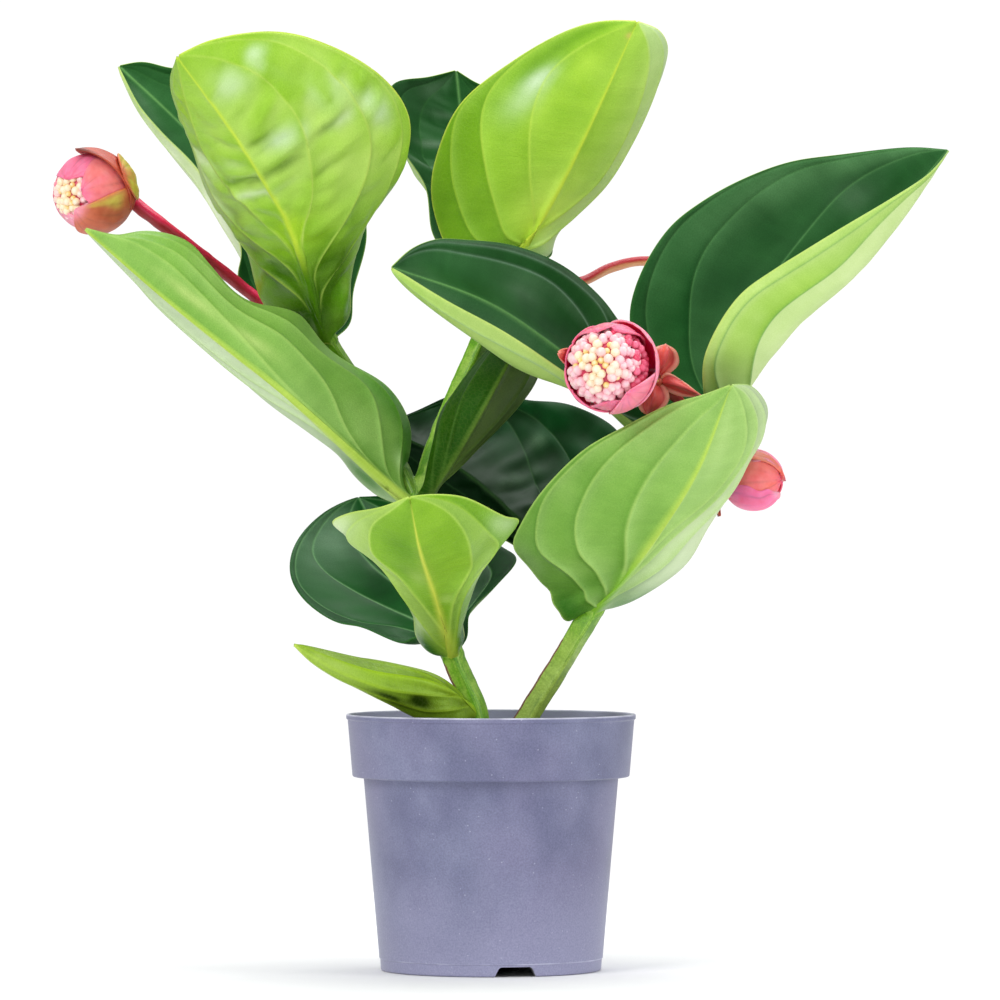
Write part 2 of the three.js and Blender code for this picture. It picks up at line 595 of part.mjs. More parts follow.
const STALKS = {
  left: {
    path: [[-70, 9, 262], [-81, 14, 268], [-95.5, 21, 277], [-112, 14, 290], [-125, 4, 300],
      [-138, -4, 310], [-147, -4, 317], footOf(LEFT_HEAD)],
    radii: [2.4, 2.4, 2.4, 2.5, 2.5, 2.6, 2.7, 2.8],
  },
  centre: {
    path: [[86, 5, 222], [82, -8, 229], [76, -20, 237], [68.5, -29, 243], [58.5, -34, 246.5],
      footOf(CENTRE_HEAD)],
    radii: [2.4, 2.3, 2.3, 2.4, 2.3, 2.5],
  },
  right: {
    path: [[12, 15, 294], [24, 32, 285.5], [38, 42, 286.5], [50.5, 48, 292.5], [64.5, 52, 295.5],
      [88.5, 54, 291.5], [100.5, 50, 274.5], [106.5, 40, 257.5], [103.5, 34, 243], [97.5, 32, 225],
      [93.5, 30, 211], footOf(RIGHT_HEAD)],
    radii: [2, 2, 2, 2, 2, 2, 2, 2, 2, 2, 2, 2.2],
  },
};

const stalkRod = ({ path, radii }, grow = 0) => rod(path, radii, STALK_SIDES, 0, 8, grow);

// ---------- assembly ----------

const group = new THREE.Group();

group.add(toMesh('pot', potSolid(), LOOK.pot));
group.add(toMesh('soil', soilSolid(), LOOK.soil));
group.add(toMesh('stem_left', leftStem, LOOK.stem));
group.add(toMesh('stem_right', rightStem, LOOK.stem));

// the room that the stalks take up, with a clear gap round it
const stalkRoom = {};
for (const [place, stalk] of Object.entries(STALKS)) {
  stalkRoom[place] = stalkRod(stalk, GAP);
  group.add(toMesh(`stalk_${place}`, largest(stalkRod(stalk).subtract(stemRoom)), LOOK.stalk));
}

const leafRoom = join([stemRoom, ...Object.values(stalkRoom)]);
for (const leaf of LEAVES) {
  group.add(toMesh(leaf.name, largest(leafSolid(leaf).subtract(leafRoom)), leaf.look));
}

const heads = [
  ['left', LEFT_HEAD, LEFT_BRACTS],
  ['centre', CENTRE_HEAD, CENTRE_BRACTS],
  ['right', RIGHT_HEAD, RIGHT_BRACTS],
];
for (const [place, head, bracts] of heads) {
  const cup = bractCup(head, bracts).subtract(stalkRoom[place]);
  group.add(toMesh(`bracts_${place}`, largest(cup), LOOK.bract));
}

const whorl = join([
  ball([68, -30.5, 243.5], 3.4),
  ...CENTRE_WHORL.map((bract) => leafSolid(bract, BRACT_ROWS, BRACT_COLUMNS, BRACT_MIDRIB_HEIGHT)),
]);
group.add(toMesh('whorl_centre', largest(whorl.subtract(stalkRoom.centre)), LOOK.bract));

group.add(toMesh('buds_left', budCluster(LEFT_HEAD, {
  coreRadius: 11, shift: 0.8, budRadius: 2, count: 20, openAngle: 56, seed: 11,
}), LOOK.bud));
group.add(toMesh('buds_centre', budCluster(CENTRE_HEAD, {
  coreRadius: 13, shift: 1.6, budRadius: 2.5, count: 44, openAngle: 90, seed: 23,
}), LOOK.bud));

export default group;
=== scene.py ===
"""Looks of the potted medinilla: leaves, stems, flower heads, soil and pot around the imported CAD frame."""
import math
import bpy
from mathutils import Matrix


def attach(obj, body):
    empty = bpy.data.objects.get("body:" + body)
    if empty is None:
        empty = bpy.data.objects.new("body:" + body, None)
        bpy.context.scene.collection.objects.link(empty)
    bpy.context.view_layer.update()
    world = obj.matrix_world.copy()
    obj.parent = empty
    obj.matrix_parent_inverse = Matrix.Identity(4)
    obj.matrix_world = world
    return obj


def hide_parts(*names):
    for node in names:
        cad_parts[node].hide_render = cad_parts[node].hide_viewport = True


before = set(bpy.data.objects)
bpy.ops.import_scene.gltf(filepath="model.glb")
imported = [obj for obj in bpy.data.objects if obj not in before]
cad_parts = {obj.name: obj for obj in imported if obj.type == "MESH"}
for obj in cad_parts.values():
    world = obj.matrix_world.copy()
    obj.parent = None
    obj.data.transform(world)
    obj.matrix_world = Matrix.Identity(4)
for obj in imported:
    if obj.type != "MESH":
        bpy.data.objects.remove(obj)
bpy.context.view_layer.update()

from types import SimpleNamespace

import bmesh
import bpy
import numpy as np
from mathutils import Vector

MM = 0.001

# ---------- driving dimensions, in millimetres, as in the CAD ----------

POT_HEIGHT = 106
RIM_RADIUS = 60
LIP_HEIGHT = 2.0
LIP_STEP = 0.6
LIP_FOOT = 2.4
BAND_HEIGHT = 26
BAND_FOOT = POT_HEIGHT - BAND_HEIGHT
BAND_FOOT_RADIUS = 57.4
BODY_TOP_RADIUS = 52.8
BODY_FOOT_RADIUS = 46.3
FOOT_STEP_HEIGHT = 5
FOOT_STEP = 0.6
STEP_RADIUS = BODY_FOOT_RADIUS - FOOT_STEP
FOOT_WALL = 4
POT_WALL = 1.3
FLOOR_UNDERSIDE = 4.6
FLOOR_TOP = 6.6
NOTCH_FOOT_WIDTH = 17.5
NOTCH_TOP_WIDTH = 13.7
NOTCH_HEIGHT = 4
NOTCH_ANGLES = (-77, 43, 163)
FOOT_LIGHT_HEIGHT = 45  # painted light: the pot is painted lighter up to this height, most at the foot
SOIL_TOP = 92
SOIL_CROWN = 3
BLADE_THICKNESS = 0.9
BRACT_THICKNESS = 0.8
FLOOR_RADIUS = 560
FLOOR_GAP = 0.15  # keeps the pot's foot clear of the floor

NODE_LOW_LEFT = (-16, -8, 131)
NODE_LEFT = (-31, -2, 193)
NODE_TOP_LEFT = (-68, 9, 261)
NODE_TOP = (10, 15, 296)
NODE_RIGHT = (42, 0, 149)
NODE_TOP_RIGHT = (88, 8, 220)

# ---------- small helpers ----------


def rgb(red, green, blue):
    """A colour given in 0 to 255 as linear light."""
    c = np.array([red, green, blue]) / 255
    return np.where(c <= 0.04045, c / 12.92, ((c + 0.055) / 1.055) ** 2.4)


def unit(a):
    return a / np.maximum(np.linalg.norm(a, axis=-1, keepdims=True), 1e-9)


def smoothstep(x, low, high):
    t = np.clip((x - low) / (high - low), 0, 1)
    return t * t * (3 - 2 * t)


def mix(a, b, amount):
    amount = np.clip(np.asarray(amount)[..., None], 0, 1)
    return a * (1 - amount) + b * amount


class Noise:
    """Smooth random heights between -1 and 1 over a plane, alike on each run."""

    GRID = 64

    def __init__(self, seed):
        self.heights = np.random.default_rng(seed).uniform(-1, 1, (self.GRID, self.GRID))

    def __call__(self, x, y):
        x, y = np.broadcast_arrays(np.asarray(x, float), np.asarray(y, float))
        i, j = np.floor(x).astype(int), np.floor(y).astype(int)
        a, b = x - i, y - j
        a, b = a * a * (3 - 2 * a), b * b * (3 - 2 * b)

        def at(di, dj):
            return self.heights[(i + di) % self.GRID, (j + dj) % self.GRID]

        return (at(0, 0) * (1 - a) + at(1, 0) * a) * (1 - b) + (at(0, 1) * (1 - a) + at(1, 1) * a) * b


CURVE_STEPS = 80


def curve(points):
    """The centripetal curve through the points, as a function of the fraction of its length."""
    p = np.asarray(points, float)
    q = np.vstack([2 * p[0] - p[1], p, 2 * p[-1] - p[-2]])
    t = np.linspace(0, 1, CURVE_STEPS, endpoint=False)[:, None]
    dense = []
    for k in range(1, len(q) - 2):
        p0, p1, p2, p3 = q[k - 1:k + 3]
        d0, d1, d2 = [np.linalg.norm(b - a) ** 0.5 for a, b in ((p0, p1), (p1, p2), (p2, p3))]
        m1 = ((p1 - p0) / d0 - (p2 - p0) / (d0 + d1) + (p2 - p1) / d1) * d1
        m2 = ((p2 - p1) / d1 - (p3 - p1) / (d1 + d2) + (p3 - p2) / d2) * d1
        dense.append((2 * t**3 - 3 * t**2 + 1) * p1 + (t**3 - 2 * t**2 + t) * m1
                     + (3 * t**2 - 2 * t**3) * p2 + (t**3 - t**2) * m2)
    dense = np.vstack(dense + [p[-1:]])
    place = np.concatenate([[0], np.cumsum(np.linalg.norm(np.diff(dense, axis=0), axis=1))])

    def at(u):
        return np.stack([np.interp(np.asarray(u) * place[-1], place, dense[:, k]) for k in range(3)], -1)

    at.length = place[-1]
    return at


def smoothed(rows, passes):
    for _ in range(passes):
        rows = np.concatenate([rows[:1], (rows[:-2] + 2 * rows[1:-1] + rows[2:]) / 4, rows[-1:]])
    return rows


# ---------- pieces ----------


def paint_points(mesh, layers):
    """Gives each point a number, a colour or, under the name place, a vector."""
    for key, values in layers.items():
        values = np.asarray(values, np.float32)
        kind, field = ("FLOAT", "value") if values.ndim == 1 else ("FLOAT_COLOR", "color")
        if key == "place":
            kind, field = "FLOAT_VECTOR", "vector"
        elif values.ndim > 1:
            values = np.hstack([values, np.ones((len(values), 1), np.float32)])
        mesh.attributes.new(key, kind, "POINT").data.foreach_set(field, values.ravel())


def mesh_object(name, verts, faces, material=None, layers=None):
    """A smooth-shaded Blender mesh from points in millimetres, with a layer of values for each point."""
    mesh = bpy.data.meshes.new(name)
    mesh.from_pydata((np.asarray(verts) * MM).tolist(), [], [list(map(int, f)) for f in faces])
    mesh.polygons.foreach_set("use_smooth", [True] * len(mesh.polygons))
    paint_points(mesh, layers or {})
    obj = bpy.data.objects.new(name, mesh)
    bpy.context.scene.collection.objects.link(obj)
    if material:
        mesh.materials.append(material)
    return obj


def stand_for(obj, node):
    """The object takes the place of a CAD node."""
    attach(obj, "root")
    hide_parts(node)


def apply_modifiers(obj):
    graph = bpy.context.evaluated_depsgraph_get()
    mesh = bpy.data.meshes.new_from_object(obj.evaluated_get(graph))
    old = obj.data
    obj.modifiers.clear()
    obj.data = mesh
    bpy.data.meshes.remove(old)
    mesh.polygons.foreach_set("use_smooth", [True] * len(mesh.polygons))


class Soup:
    """Points, faces and tints of several bodies, gathered for one object."""

    def __init__(self):
        self.verts, self.faces, self.tints, self.count = [], [], [], 0

    def add(self, verts, faces, tint=None):
        self.verts.append(verts)
        self.faces += [[int(i) + self.count for i in f] for f in faces]
        self.count += len(verts)
        if tint is not None:
            self.tints.append(np.broadcast_to(tint, verts.shape))

    def build(self, name, material=None):
        layers = dict(tint=np.vstack(self.tints)) if self.tints else {}
        return mesh_object(name, np.vstack(self.verts), self.faces, material, layers)


def blade_faces(rows, columns):
    """Faces of a closed blade whose upper points are followed by as many lower ones."""
    at = np.arange(rows * columns).reshape(rows, columns)
    low = at.size
    a, b, c, d = at[:-1, :-1], at[1:, :-1], at[1:, 1:], at[:-1, 1:]
    faces = [np.stack([a, b, c, d], -1).reshape(-1, 4), np.stack([a, d, c, b], -1).reshape(-1, 4) + low]
    for line in (at[::-1, -1], at[:, 0], at[0, ::-1], at[-1, :]):
        p, q = line[:-1], line[1:]
        faces.append(np.stack([p, p + low, q + low, q], -1))
    return np.vstack(faces)


def grid_normals(points):
    normals = unit(np.cross(np.gradient(points, axis=0), np.gradient(points, axis=1)))
    normals[:2] = normals[2]
    normals[-2:] = normals[-3]
    return normals


def both(upper, lower):
    """One array for the upper and then the lower points of a blade."""
    flat = (-1,) if upper.ndim == 2 else (-1, upper.shape[-1])
    return np.concatenate([upper.reshape(flat), lower.reshape(flat)])


# ---------- materials ----------


class Shader:
    """Builds one procedural material, node by node."""

    def __init__(self, name):
        self.material = bpy.data.materials.new(name)
        self.material.use_nodes = True
        self.tree = self.material.node_tree
        self.tree.nodes.clear()

    def node(self, kind, inputs=None, out=0, **settings):
        n = self.tree.nodes.new("ShaderNode" + kind)
        for key, value in settings.items():
            setattr(n, key, value)
        for key, value in (inputs or {}).items():
            socket = n.inputs[key]
            if isinstance(value, bpy.types.NodeSocket):
                self.tree.links.new(value, socket)
            elif socket.type == "RGBA":
                socket.default_value = (*value, 1)
            else:
                socket.default_value = value
        return n.outputs[out]

    def layer(self, name, out="Color"):
        return self.node("Attribute", out=out, attribute_name=name)

    def position(self):
        return self.node("TexCoord", out="Object")

    def scaled(self, vector, scale):
        return self.node("Mapping", {"Vector": vector, "Scale": scale})

    def noise(self, vector, scale=1.0, detail=2.0, rough=0.5):
        return self.node("TexNoise", {"Vector": vector, "Scale": scale, "Detail": detail, "Roughness": rough})

    def cells(self, vector, scale, feature="F1"):
        return self.node("TexVoronoi", {"Vector": vector, "Scale": scale}, feature=feature)

    def math(self, operation, a, b=0.0, clamp=False):
        return self.node("Math", {0: a, 1: b}, operation=operation, use_clamp=clamp)

    def plus(self, a, b, clamp=False):
        return self.math("ADD", a, b, clamp)

    def minus(self, a, b, clamp=False):
        return self.math("SUBTRACT", a, b, clamp)

    def times(self, a, b):
        return self.math("MULTIPLY", a, b)

    def span(self, value, low, high, to_low=0.0, to_high=1.0):
        return self.node("MapRange", {"Value": value, "From Min": low, "From Max": high,
                                      "To Min": to_low, "To Max": to_high}, clamp=True)

    def blend(self, amount, a, b, how="MIX"):
        return self.node("Mix", {0: amount, 6: a, 7: b}, out=2, data_type="RGBA", blend_type=how)

    def dapple(self, color, pattern, amount):
        """Lightens and darkens a colour softly by a pattern."""
        return self.blend(amount, color, self.node("ValToRGB", {"Fac": pattern}), "SOFT_LIGHT")

    def done(self, color, rough, bump=None, **inputs):
        """The finished material. bump: a height, its strength and its depth in metres."""
        inputs = {key.replace("_", " "): value for key, value in inputs.items()}
        if bump:
            inputs["Normal"] = self.node("Bump", dict(zip(("Height", "Strength", "Distance"), bump)))
        surface = self.node("BsdfPrincipled", {"Base Color": color, "Roughness": rough, **inputs})
        out = self.tree.nodes.new("ShaderNodeOutputMaterial")
        self.tree.links.new(surface, out.inputs["Surface"])
        return self.material


def leaf_material(name, gloss, under_gloss, relief, shine, gleam):
    """Leaf skin: the painted tint, broken up by cross veinlets, a fine net and soft mottling."""
    s = Shader(name)
    place, under = s.layer("place", "Vector"), s.layer("under", "Fac")
    ladder = s.noise(s.scaled(place, (0.22, 0.04, 1)), detail=3, rough=0.55)
    mottle = s.noise(s.scaled(place, (0.05, 0.08, 1)))
    grain = s.noise(place, 1.9, detail=3)
    net = s.cells(s.scaled(place, (0.7, 0.5, 1)), 1.0, "DISTANCE_TO_EDGE")
    net = s.times(s.span(net, 0.0, 0.12, 1.0, 0.0), under)
    color = s.dapple(s.layer("tint"), mottle, 0.3)
    color = s.dapple(color, ladder, 0.2)
    color = s.dapple(color, grain, 0.35)
    color = s.blend(s.times(net, 0.03), color, rgb(196, 222, 120))
    height = s.plus(s.plus(ladder, s.times(net, 0.12)), s.times(grain, 0.10))
    height = s.times(height, s.minus(1.0, s.layer("vein", "Fac"), clamp=True))
    rough = s.node("Mix", {0: under, 2: gloss, 3: under_gloss}, data_type="FLOAT")
    rough = s.plus(rough, s.times(s.minus(mottle, 0.5), 0.2))
    rough = s.plus(rough, s.times(s.layer("dull", "Fac"), 0.3), clamp=True)
    return s.done(color, rough, (height, relief, 0.0012), Specular_IOR_Level=shine, Specular_Tint=gleam)


def stem_material():
    """Green stem skin with length-wise streaks and brown cork along its edges."""
    s = Shader("stem_skin")
    where, place = s.position(), s.layer("place", "Vector")
    streak = s.noise(s.scaled(place, (0.08, 0.9, 1)), detail=3)
    mottle = s.noise(s.scaled(place, (0.25, 0.5, 1)), detail=3)
    crack = s.cells(s.scaled(place, (0.35, 1.4, 1)), 1.0, "DISTANCE_TO_EDGE")
    ragged = s.times(s.minus(s.noise(where, 500, detail=4), 0.5), 0.7)
    corky = s.span(s.plus(s.layer("cork", "Fac"), ragged), 0.45, 0.6)
    green = s.blend(s.span(streak, 0.42, 0.7, 0.0, 0.8), s.layer("tint"), rgb(166, 198, 84))
    green = s.blend(s.span(mottle, 0.5, 0.75, 0.0, 0.6), green, rgb(62, 116, 12))
    green = s.dapple(green, s.noise(where, 1400, detail=3), 0.8)
    bark = s.blend(s.span(crack, 0.0, 0.2), rgb(118, 80, 62), rgb(154, 110, 90))
    relief = s.plus(s.times(streak, 0.3), s.times(corky, s.plus(crack, 0.4)))
    return s.done(s.blend(corky, green, bark), s.span(corky, 0, 1, 0.42, 0.85), (relief, 0.6, 0.0008),
                  Specular_IOR_Level=0.4)


def painted_material(name, gloss, mottling, grain_scale, relief, **more):
    """A waxy petal, stalk or bud: the painted tint with fine mottling and a slight grain."""
    s = Shader(name)
    where = s.position()
    mottle = s.noise(where, 260, detail=3)
    color = s.dapple(s.layer("tint"), mottle, mottling)
    rough = s.span(mottle, 0.3, 0.7, gloss - 0.08, gloss + 0.1)
    return s.done(color, rough, (s.noise(where, grain_scale), relief, 0.0005), Specular_IOR_Level=0.45,
                  Subsurface_Scale=0.002, Coat_Roughness=0.25, **more)


def pot_material():
    """Thin lavender-grey moulded plastic with cloudy patches, fine grain and pale specks; painted highlights
    on lip and foot step, painted light on the foot and inner wall, painted shade under the floor.
    """
    s = Shader("pot_plastic_skin")
    where = s.position()
    height = s.node("SeparateXYZ", {"Vector": where}, out=2)
    out = s.node("VectorMath", {0: s.scaled(where, (1, 1, 0))}, out=1, operation="LENGTH")
    cloud = s.noise(s.scaled(where, (34, 34, 30)), detail=3)
    wide = s.noise(s.scaled(where, (18, 18, 15)))
    grain = s.noise(where, 1500, detail=3)
    scuff = s.noise(s.scaled(where, (40, 40, 900)), detail=3)
    color = s.blend(s.span(cloud, 0.38, 0.62), rgb(100, 102, 132), rgb(122, 125, 153))
    color = s.blend(s.span(wide, 0.42, 0.6, 0.0, 0.45), color, rgb(112, 106, 138))
    # painted light, stronger towards the foot
    color = s.blend(s.span(height, FOOT_LIGHT_HEIGHT * MM, 0.0, 0.0, 0.8), color, rgb(150, 150, 178))
    color = s.dapple(color, grain, 0.45)
    specks = s.times(s.span(s.cells(where, 420), 0.16, 0.08), s.span(s.noise(where, 300), 0.55, 0.6))
    color = s.blend(s.times(specks, 0.4), color, rgb(196, 196, 216))
    # painted highlight along the lip's top edge, broken into patches
    lip_highlight = s.span(height, (POT_HEIGHT - 0.75) * MM, (POT_HEIGHT - 0.25) * MM)
    patchy = s.span(s.noise(s.scaled(where, (90, 90, 10))), 0.3, 0.6, 0.35, 0.9)
    color = s.blend(s.times(lip_highlight, patchy), color, rgb(214, 214, 232))
    # painted highlight along the foot step, broken into patches
    off_step = s.math("ABSOLUTE", s.minus(height, FOOT_STEP_HEIGHT * MM))
    step_highlight = s.span(s.noise(s.scaled(where, (60, 60, 10))), 0.45, 0.6, 0.1, 0.7)
    color = s.blend(s.times(s.span(off_step, 0.35 * MM, 0.1 * MM), step_highlight), color, rgb(206, 206, 226))
    # the band's inner wall is told from the outer one by its distance from the axis, less the band's slope
    slope = (RIM_RADIUS - LIP_STEP - BAND_FOOT_RADIUS) / (BAND_HEIGHT - LIP_FOOT)
    straight = s.minus(out, s.times(s.minus(height, BAND_FOOT * MM), slope))
    # painted light on the band's inner wall above the soil, against its shade
    inside = s.times(s.span(straight, (BAND_FOOT_RADIUS - 0.5) * MM, (BAND_FOOT_RADIUS - 0.9) * MM),
                     s.span(height, (SOIL_TOP + 2) * MM, (POT_HEIGHT - 6) * MM))
    color = s.blend(s.times(inside, 0.5), color, rgb(196, 196, 226))
    # painted shade: near black in the hollow under the pot's floor
    hollow_shade = s.times(s.span(out, (STEP_RADIUS - 1.2) * MM, (STEP_RADIUS - 1.7) * MM),
                          s.span(height, (FLOOR_TOP - 0.2) * MM, (FLOOR_TOP - 0.6) * MM))
    color = s.blend(hollow_shade, color, rgb(10, 10, 12))
    rough = s.plus(s.span(cloud, 0.3, 0.7, 0.44, 0.56), s.times(scuff, 0.06))
    relief = s.plus(s.times(grain, 0.6), s.times(scuff, 0.15))
    return s.done(color, rough, (relief, 0.3, 0.0003), Specular_IOR_Level=0.4, Sheen_Weight=0.25,
                  Sheen_Roughness=0.4)


def soil_material():
    s = Shader("soil_skin")
    where = s.position()
    lump = s.noise(where, 160, detail=5, rough=0.7)
    crumb = s.cells(where, 420)
    color = s.blend(s.span(lump, 0.35, 0.7), rgb(34, 24, 18), rgb(92, 66, 46))
    color = s.blend(0.85, s.layer("tint"), color)
    color = s.blend(s.span(crumb, 0.5, 0.1), color, rgb(58, 42, 30), "MULTIPLY")
    return s.done(color, 0.93, (s.plus(lump, s.times(crumb, 0.6)), 0.9, 0.002), Specular_IOR_Level=0.25)


# ---------- leaves ----------

ROWS = 116
INNER = 6  # columns between two veins
LEAF_SPAN = (0.003, 0.997)  # the rows stop just short of base and tip


def palette(*hues):
    """Six colours of one face of a leaf, each as red, green and blue from 0 to 255."""
    return {name: rgb(*hue) for name, hue in zip(("base", "shade", "pale", "vein", "rib", "edge"), hues)}


YOUNG_UNDER = palette((140, 190, 40), (90, 144, 8), (184, 218, 104), (184, 218, 78), (202, 224, 66),
                      (206, 222, 84))
YOUNG_UPPER = palette((62, 118, 34), (38, 88, 26), (96, 150, 52), (96, 148, 56), (150, 186, 84),
                      (140, 180, 76))
FRONT_UNDER = palette((118, 166, 38), (72, 126, 10), (158, 196, 84), (176, 210, 84), (214, 220, 86),
                      (186, 214, 96))
PALE_UNDER = palette((126, 174, 72), (88, 142, 44), (178, 210, 128), (176, 210, 112), (184, 212, 80),
                     (172, 206, 106))
DARK_UPPER = palette((36, 88, 38), (12, 56, 22), (70, 122, 70), (62, 116, 58), (104, 156, 86), (78, 138, 56))
# a darkened copy of the dark upper face, painted shade for a leaf lying deep at the back
SHADED_BACK_UPPER = palette((4, 40, 8), (0, 16, 0), (26, 62, 30), (60, 100, 56), (60, 98, 48), (30, 76, 26))
LOW_UNDER = palette((136, 174, 40), (70, 104, 2), (184, 208, 96), (150, 184, 40), (150, 186, 36),
                    (176, 200, 84))
DARK_UNDER = palette((166, 206, 88), (126, 172, 52), (208, 226, 160), (184, 214, 112), (190, 216, 104),
                     (196, 220, 118))
LOW_BACK_UPPER = palette((18, 88, 28), (4, 54, 14), (62, 118, 64), (62, 116, 58), (90, 146, 80),
                         (60, 120, 50))
LOW_BACK_UNDER = dict(DARK_UNDER, base=rgb(110, 156, 60), edge=rgb(56, 106, 44))
OLIVE_UNDER = palette((30, 70, 2), (26, 58, 0), (70, 100, 34), (84, 118, 46), (92, 124, 44), (110, 150, 60))
# painted whitish highlights and sheen, also laid over strips of a leaf's paler underside
WHITISH_SHEEN = rgb(226, 240, 206)
PALE_LIME = rgb(192, 214, 124)
GLINT = rgb(222, 240, 216)
SHEEN = rgb(112, 142, 112)
# painted shade: deep green laid over a leaf's base and along the dips of its folds
DEEP_SHADE_GREEN = rgb(44, 88, 0)
LEMON = rgb(170, 212, 20)
OLIVE_SPOT = rgb(26, 48, 0)

# a side vein is u, v, u, v and so on, in hundredths: u runs along the leaf, v from midrib (0) to margin (100)
VEINS = ((14, 3, 30, 25, 50, 42, 75, 50, 100, 50), (5, 6, 15, 40, 30, 68, 60, 82, 100, 82))
VEIN_HEIGHTS = (0.8, 0.65, 0.5, 0.35)
VEIN_WIDTHS = (0.75, 0.65, 0.55, 0.45)
VEIN_PAINTS = (1, 0.9, 0.7, 0.5)
VEIN_PAINT_SHARE = 0.62  # the painted line is this much narrower than the ridge
GROOVE_DEPTH = 0.28
RIB_GROOVE_DEPTH = 0.3
CREASE_REACH = 3.2
PANEL_WIDTH = 13  # a panel between two veins bulges in full from this width
RIPPLE_LENGTH = 9.5
FINE_LENGTH = 4.6
SWELL_LENGTH = 26
RIPPLE_SLANT = 0.3  # ripples lag by this share of the distance from the midrib
FOLD_SLANT = 0.06
CLOUD_LENGTH, CLOUD_WIDTH = 32, 22
FLATTENING = 0.6  # share of the sag that is lost where a leaf is flatter

USUAL = dict(detail=1, tip=0.7, rib_width=1.8, rib_paint=0.75, quilt=0.6, ripple=0.4, fine=0.4, wave=1,
             ridges=1, crease=0.4, broken=0.3, vein_paint=0.7, dull=0, tone=1, flatter=None,
             veins_left=VEINS, veins_right=VEINS, folds=(), upper_bands=(), upper_paint=(),
             under_bands=(), under_paint=())
YOUNG = dict(slot="leaf_young", under=YOUNG_UNDER, upper=YOUNG_UPPER)
PALE = dict(slot="leaf_pale", under=PALE_UNDER, upper=YOUNG_UPPER)
DARK = dict(slot="leaf_dark", under=DARK_UNDER, upper=DARK_UPPER)

LEAVES = []


def leaf(family, name, **own):
    """One leaf of the plant.

    rib, left and right are points in millimetres from base to tip, and the margins share the rib's ends.
    The lists below them are in hundredths, with v from -100 on the left margin to 100 on the right one.
    folds: u, v, their reaches, and the height in millimetres. flatter: u and its reach.
    bands: a colour, then strips between veins and their strengths. Strips count from 1 at the midrib
    outwards, and those on the left are negative. paint: a colour, then spots, each u, v, their reaches and
    the strength. A colour in quotes is one of the face's palette.
    """
    LEAVES.append({**USUAL, **family, "name": name, "seed": len(LEAVES) + 1, **own})


# the bands and spots below paint the leaves' own tones and also painted light and shade: highlights and sheen
# where light falls, shade on lobes, folds and bases
leaf(
    YOUNG, "leaf_top_left", sag=(8, 8), ripple=1.6, wave=1.6, fine=1.0, detail=1.3, broken=0.9, crease=0.2,
    vein_paint=0.9, vein_tone=rgb(186, 214, 96), rib_base=rgb(72, 120, 4), rib_width=2.6,
    rib=[(-69, 7, 261), (-81.5, -24, 304.5), (-102, -52, 340), (-126.5, -72, 374)],
    left=[(-86, 10, 268), (-95, 14, 278), (-101.5, 20, 298.5), (-108.5, 18, 310.5), (-118, 8, 325),
        (-123, -8, 342), (-130, -42, 364)],
    right=[(-59, 8, 270), (-58, 8, 286), (-52, 4, 308), (-37, -12, 331), (-33, -28, 351.5), (-47.5, -48, 370),
        (-82, -64, 384), (-111, -71, 381)],
    veins_left=[(33, 7, 40, 17, 47, 24, 56, 38, 68, 50, 81, 42, 100, 35),
        (25, 12, 32, 28, 38, 49, 44, 62, 60, 75, 100, 75), (17, 16, 26, 42, 30, 66, 35, 82, 50, 93)],
    veins_right=[(33, 3, 44, 19, 55, 30, 67, 44, 82, 54, 100, 60),
        (23, 6, 30, 30, 41, 55, 52, 70, 69, 83, 85, 90), (15, 8, 19, 25, 25, 70, 40, 88, 60, 97)],
    folds=[(60, 5, 1.8, 24, -1.8), (56.5, -2, 1.3, 30, 1.7), (53, -10, 1.4, 26, -1.5), (50, 0, 1.2, 20, 1.1),
        (63.5, 16, 1.2, 12, 1.2), (66.5, 12, 1.4, 18, 1.5), (71, 16, 2.4, 20, -1.6), (80, 30, 3, 20, -1.3),
        (61.5, 60, 1.6, 14, -1.5), (58.5, 55, 1.4, 14, 1.5), (54, 50, 1.6, 14, -1.3),
        (50.5, 42, 1.4, 14, 1.2), (72, 68, 3, 10, 1.5), (55, 85, 4, 10, -1.4), (45, -45, 3, 12, 1.6),
        (82, 70, 2, 12, -1.5), (10, 60, 3, 16, -1.6), (14, 45, 2, 14, 1.4), (76, 50, 2, 12, 1.4),
        (87, 35, 2, 16, 1.2)],
    under_paint=[("pale", (60, 20, 25, 90, 60), (45, 75, 25, 25, 40)), ("shade", (26, 0, 12, 90, 60)),
        (GLINT, (84, 30, 4, 20, 30), (83, 74, 2.2, 10, 40), (64, 27, 2.5, 12, 62), (66, 70, 4, 10, 40),
        (56, 84, 4, 6, 55), (77, 63, 5, 5, 35)), (WHITISH_SHEEN, (59, 64, 1.5, 10, 35), (51.5, -15, 1.2, 20, 40),
        (62, -30, 2, 20, 25)), (DEEP_SHADE_GREEN, (56.5, -15, 1.4, 30, 50), (57, 15, 1.2, 12, 50),
        (67, 12, 1.4, 9, 45), (60, 53, 1, 10, 45), (51, 32, 1, 8, 35)), (LEMON, (36, 0, 7, 25, 50)),
        (DEEP_SHADE_GREEN, (10, -10, 15, 90, 100), (25, -35, 5, 22, 75), (23, 38, 5, 22, 70), (33, -55, 5, 12, 50),
        (44, -50, 3, 8, 45)), (WHITISH_SHEEN, (55, -72, 14, 16, 45)), (rgb(84, 160, 10), (8, 66, 5, 25, 85)),
        (GLINT, (9, 70, 1.2, 5, 60)), ("pale", (13, 75, 2, 6, 60))],
)
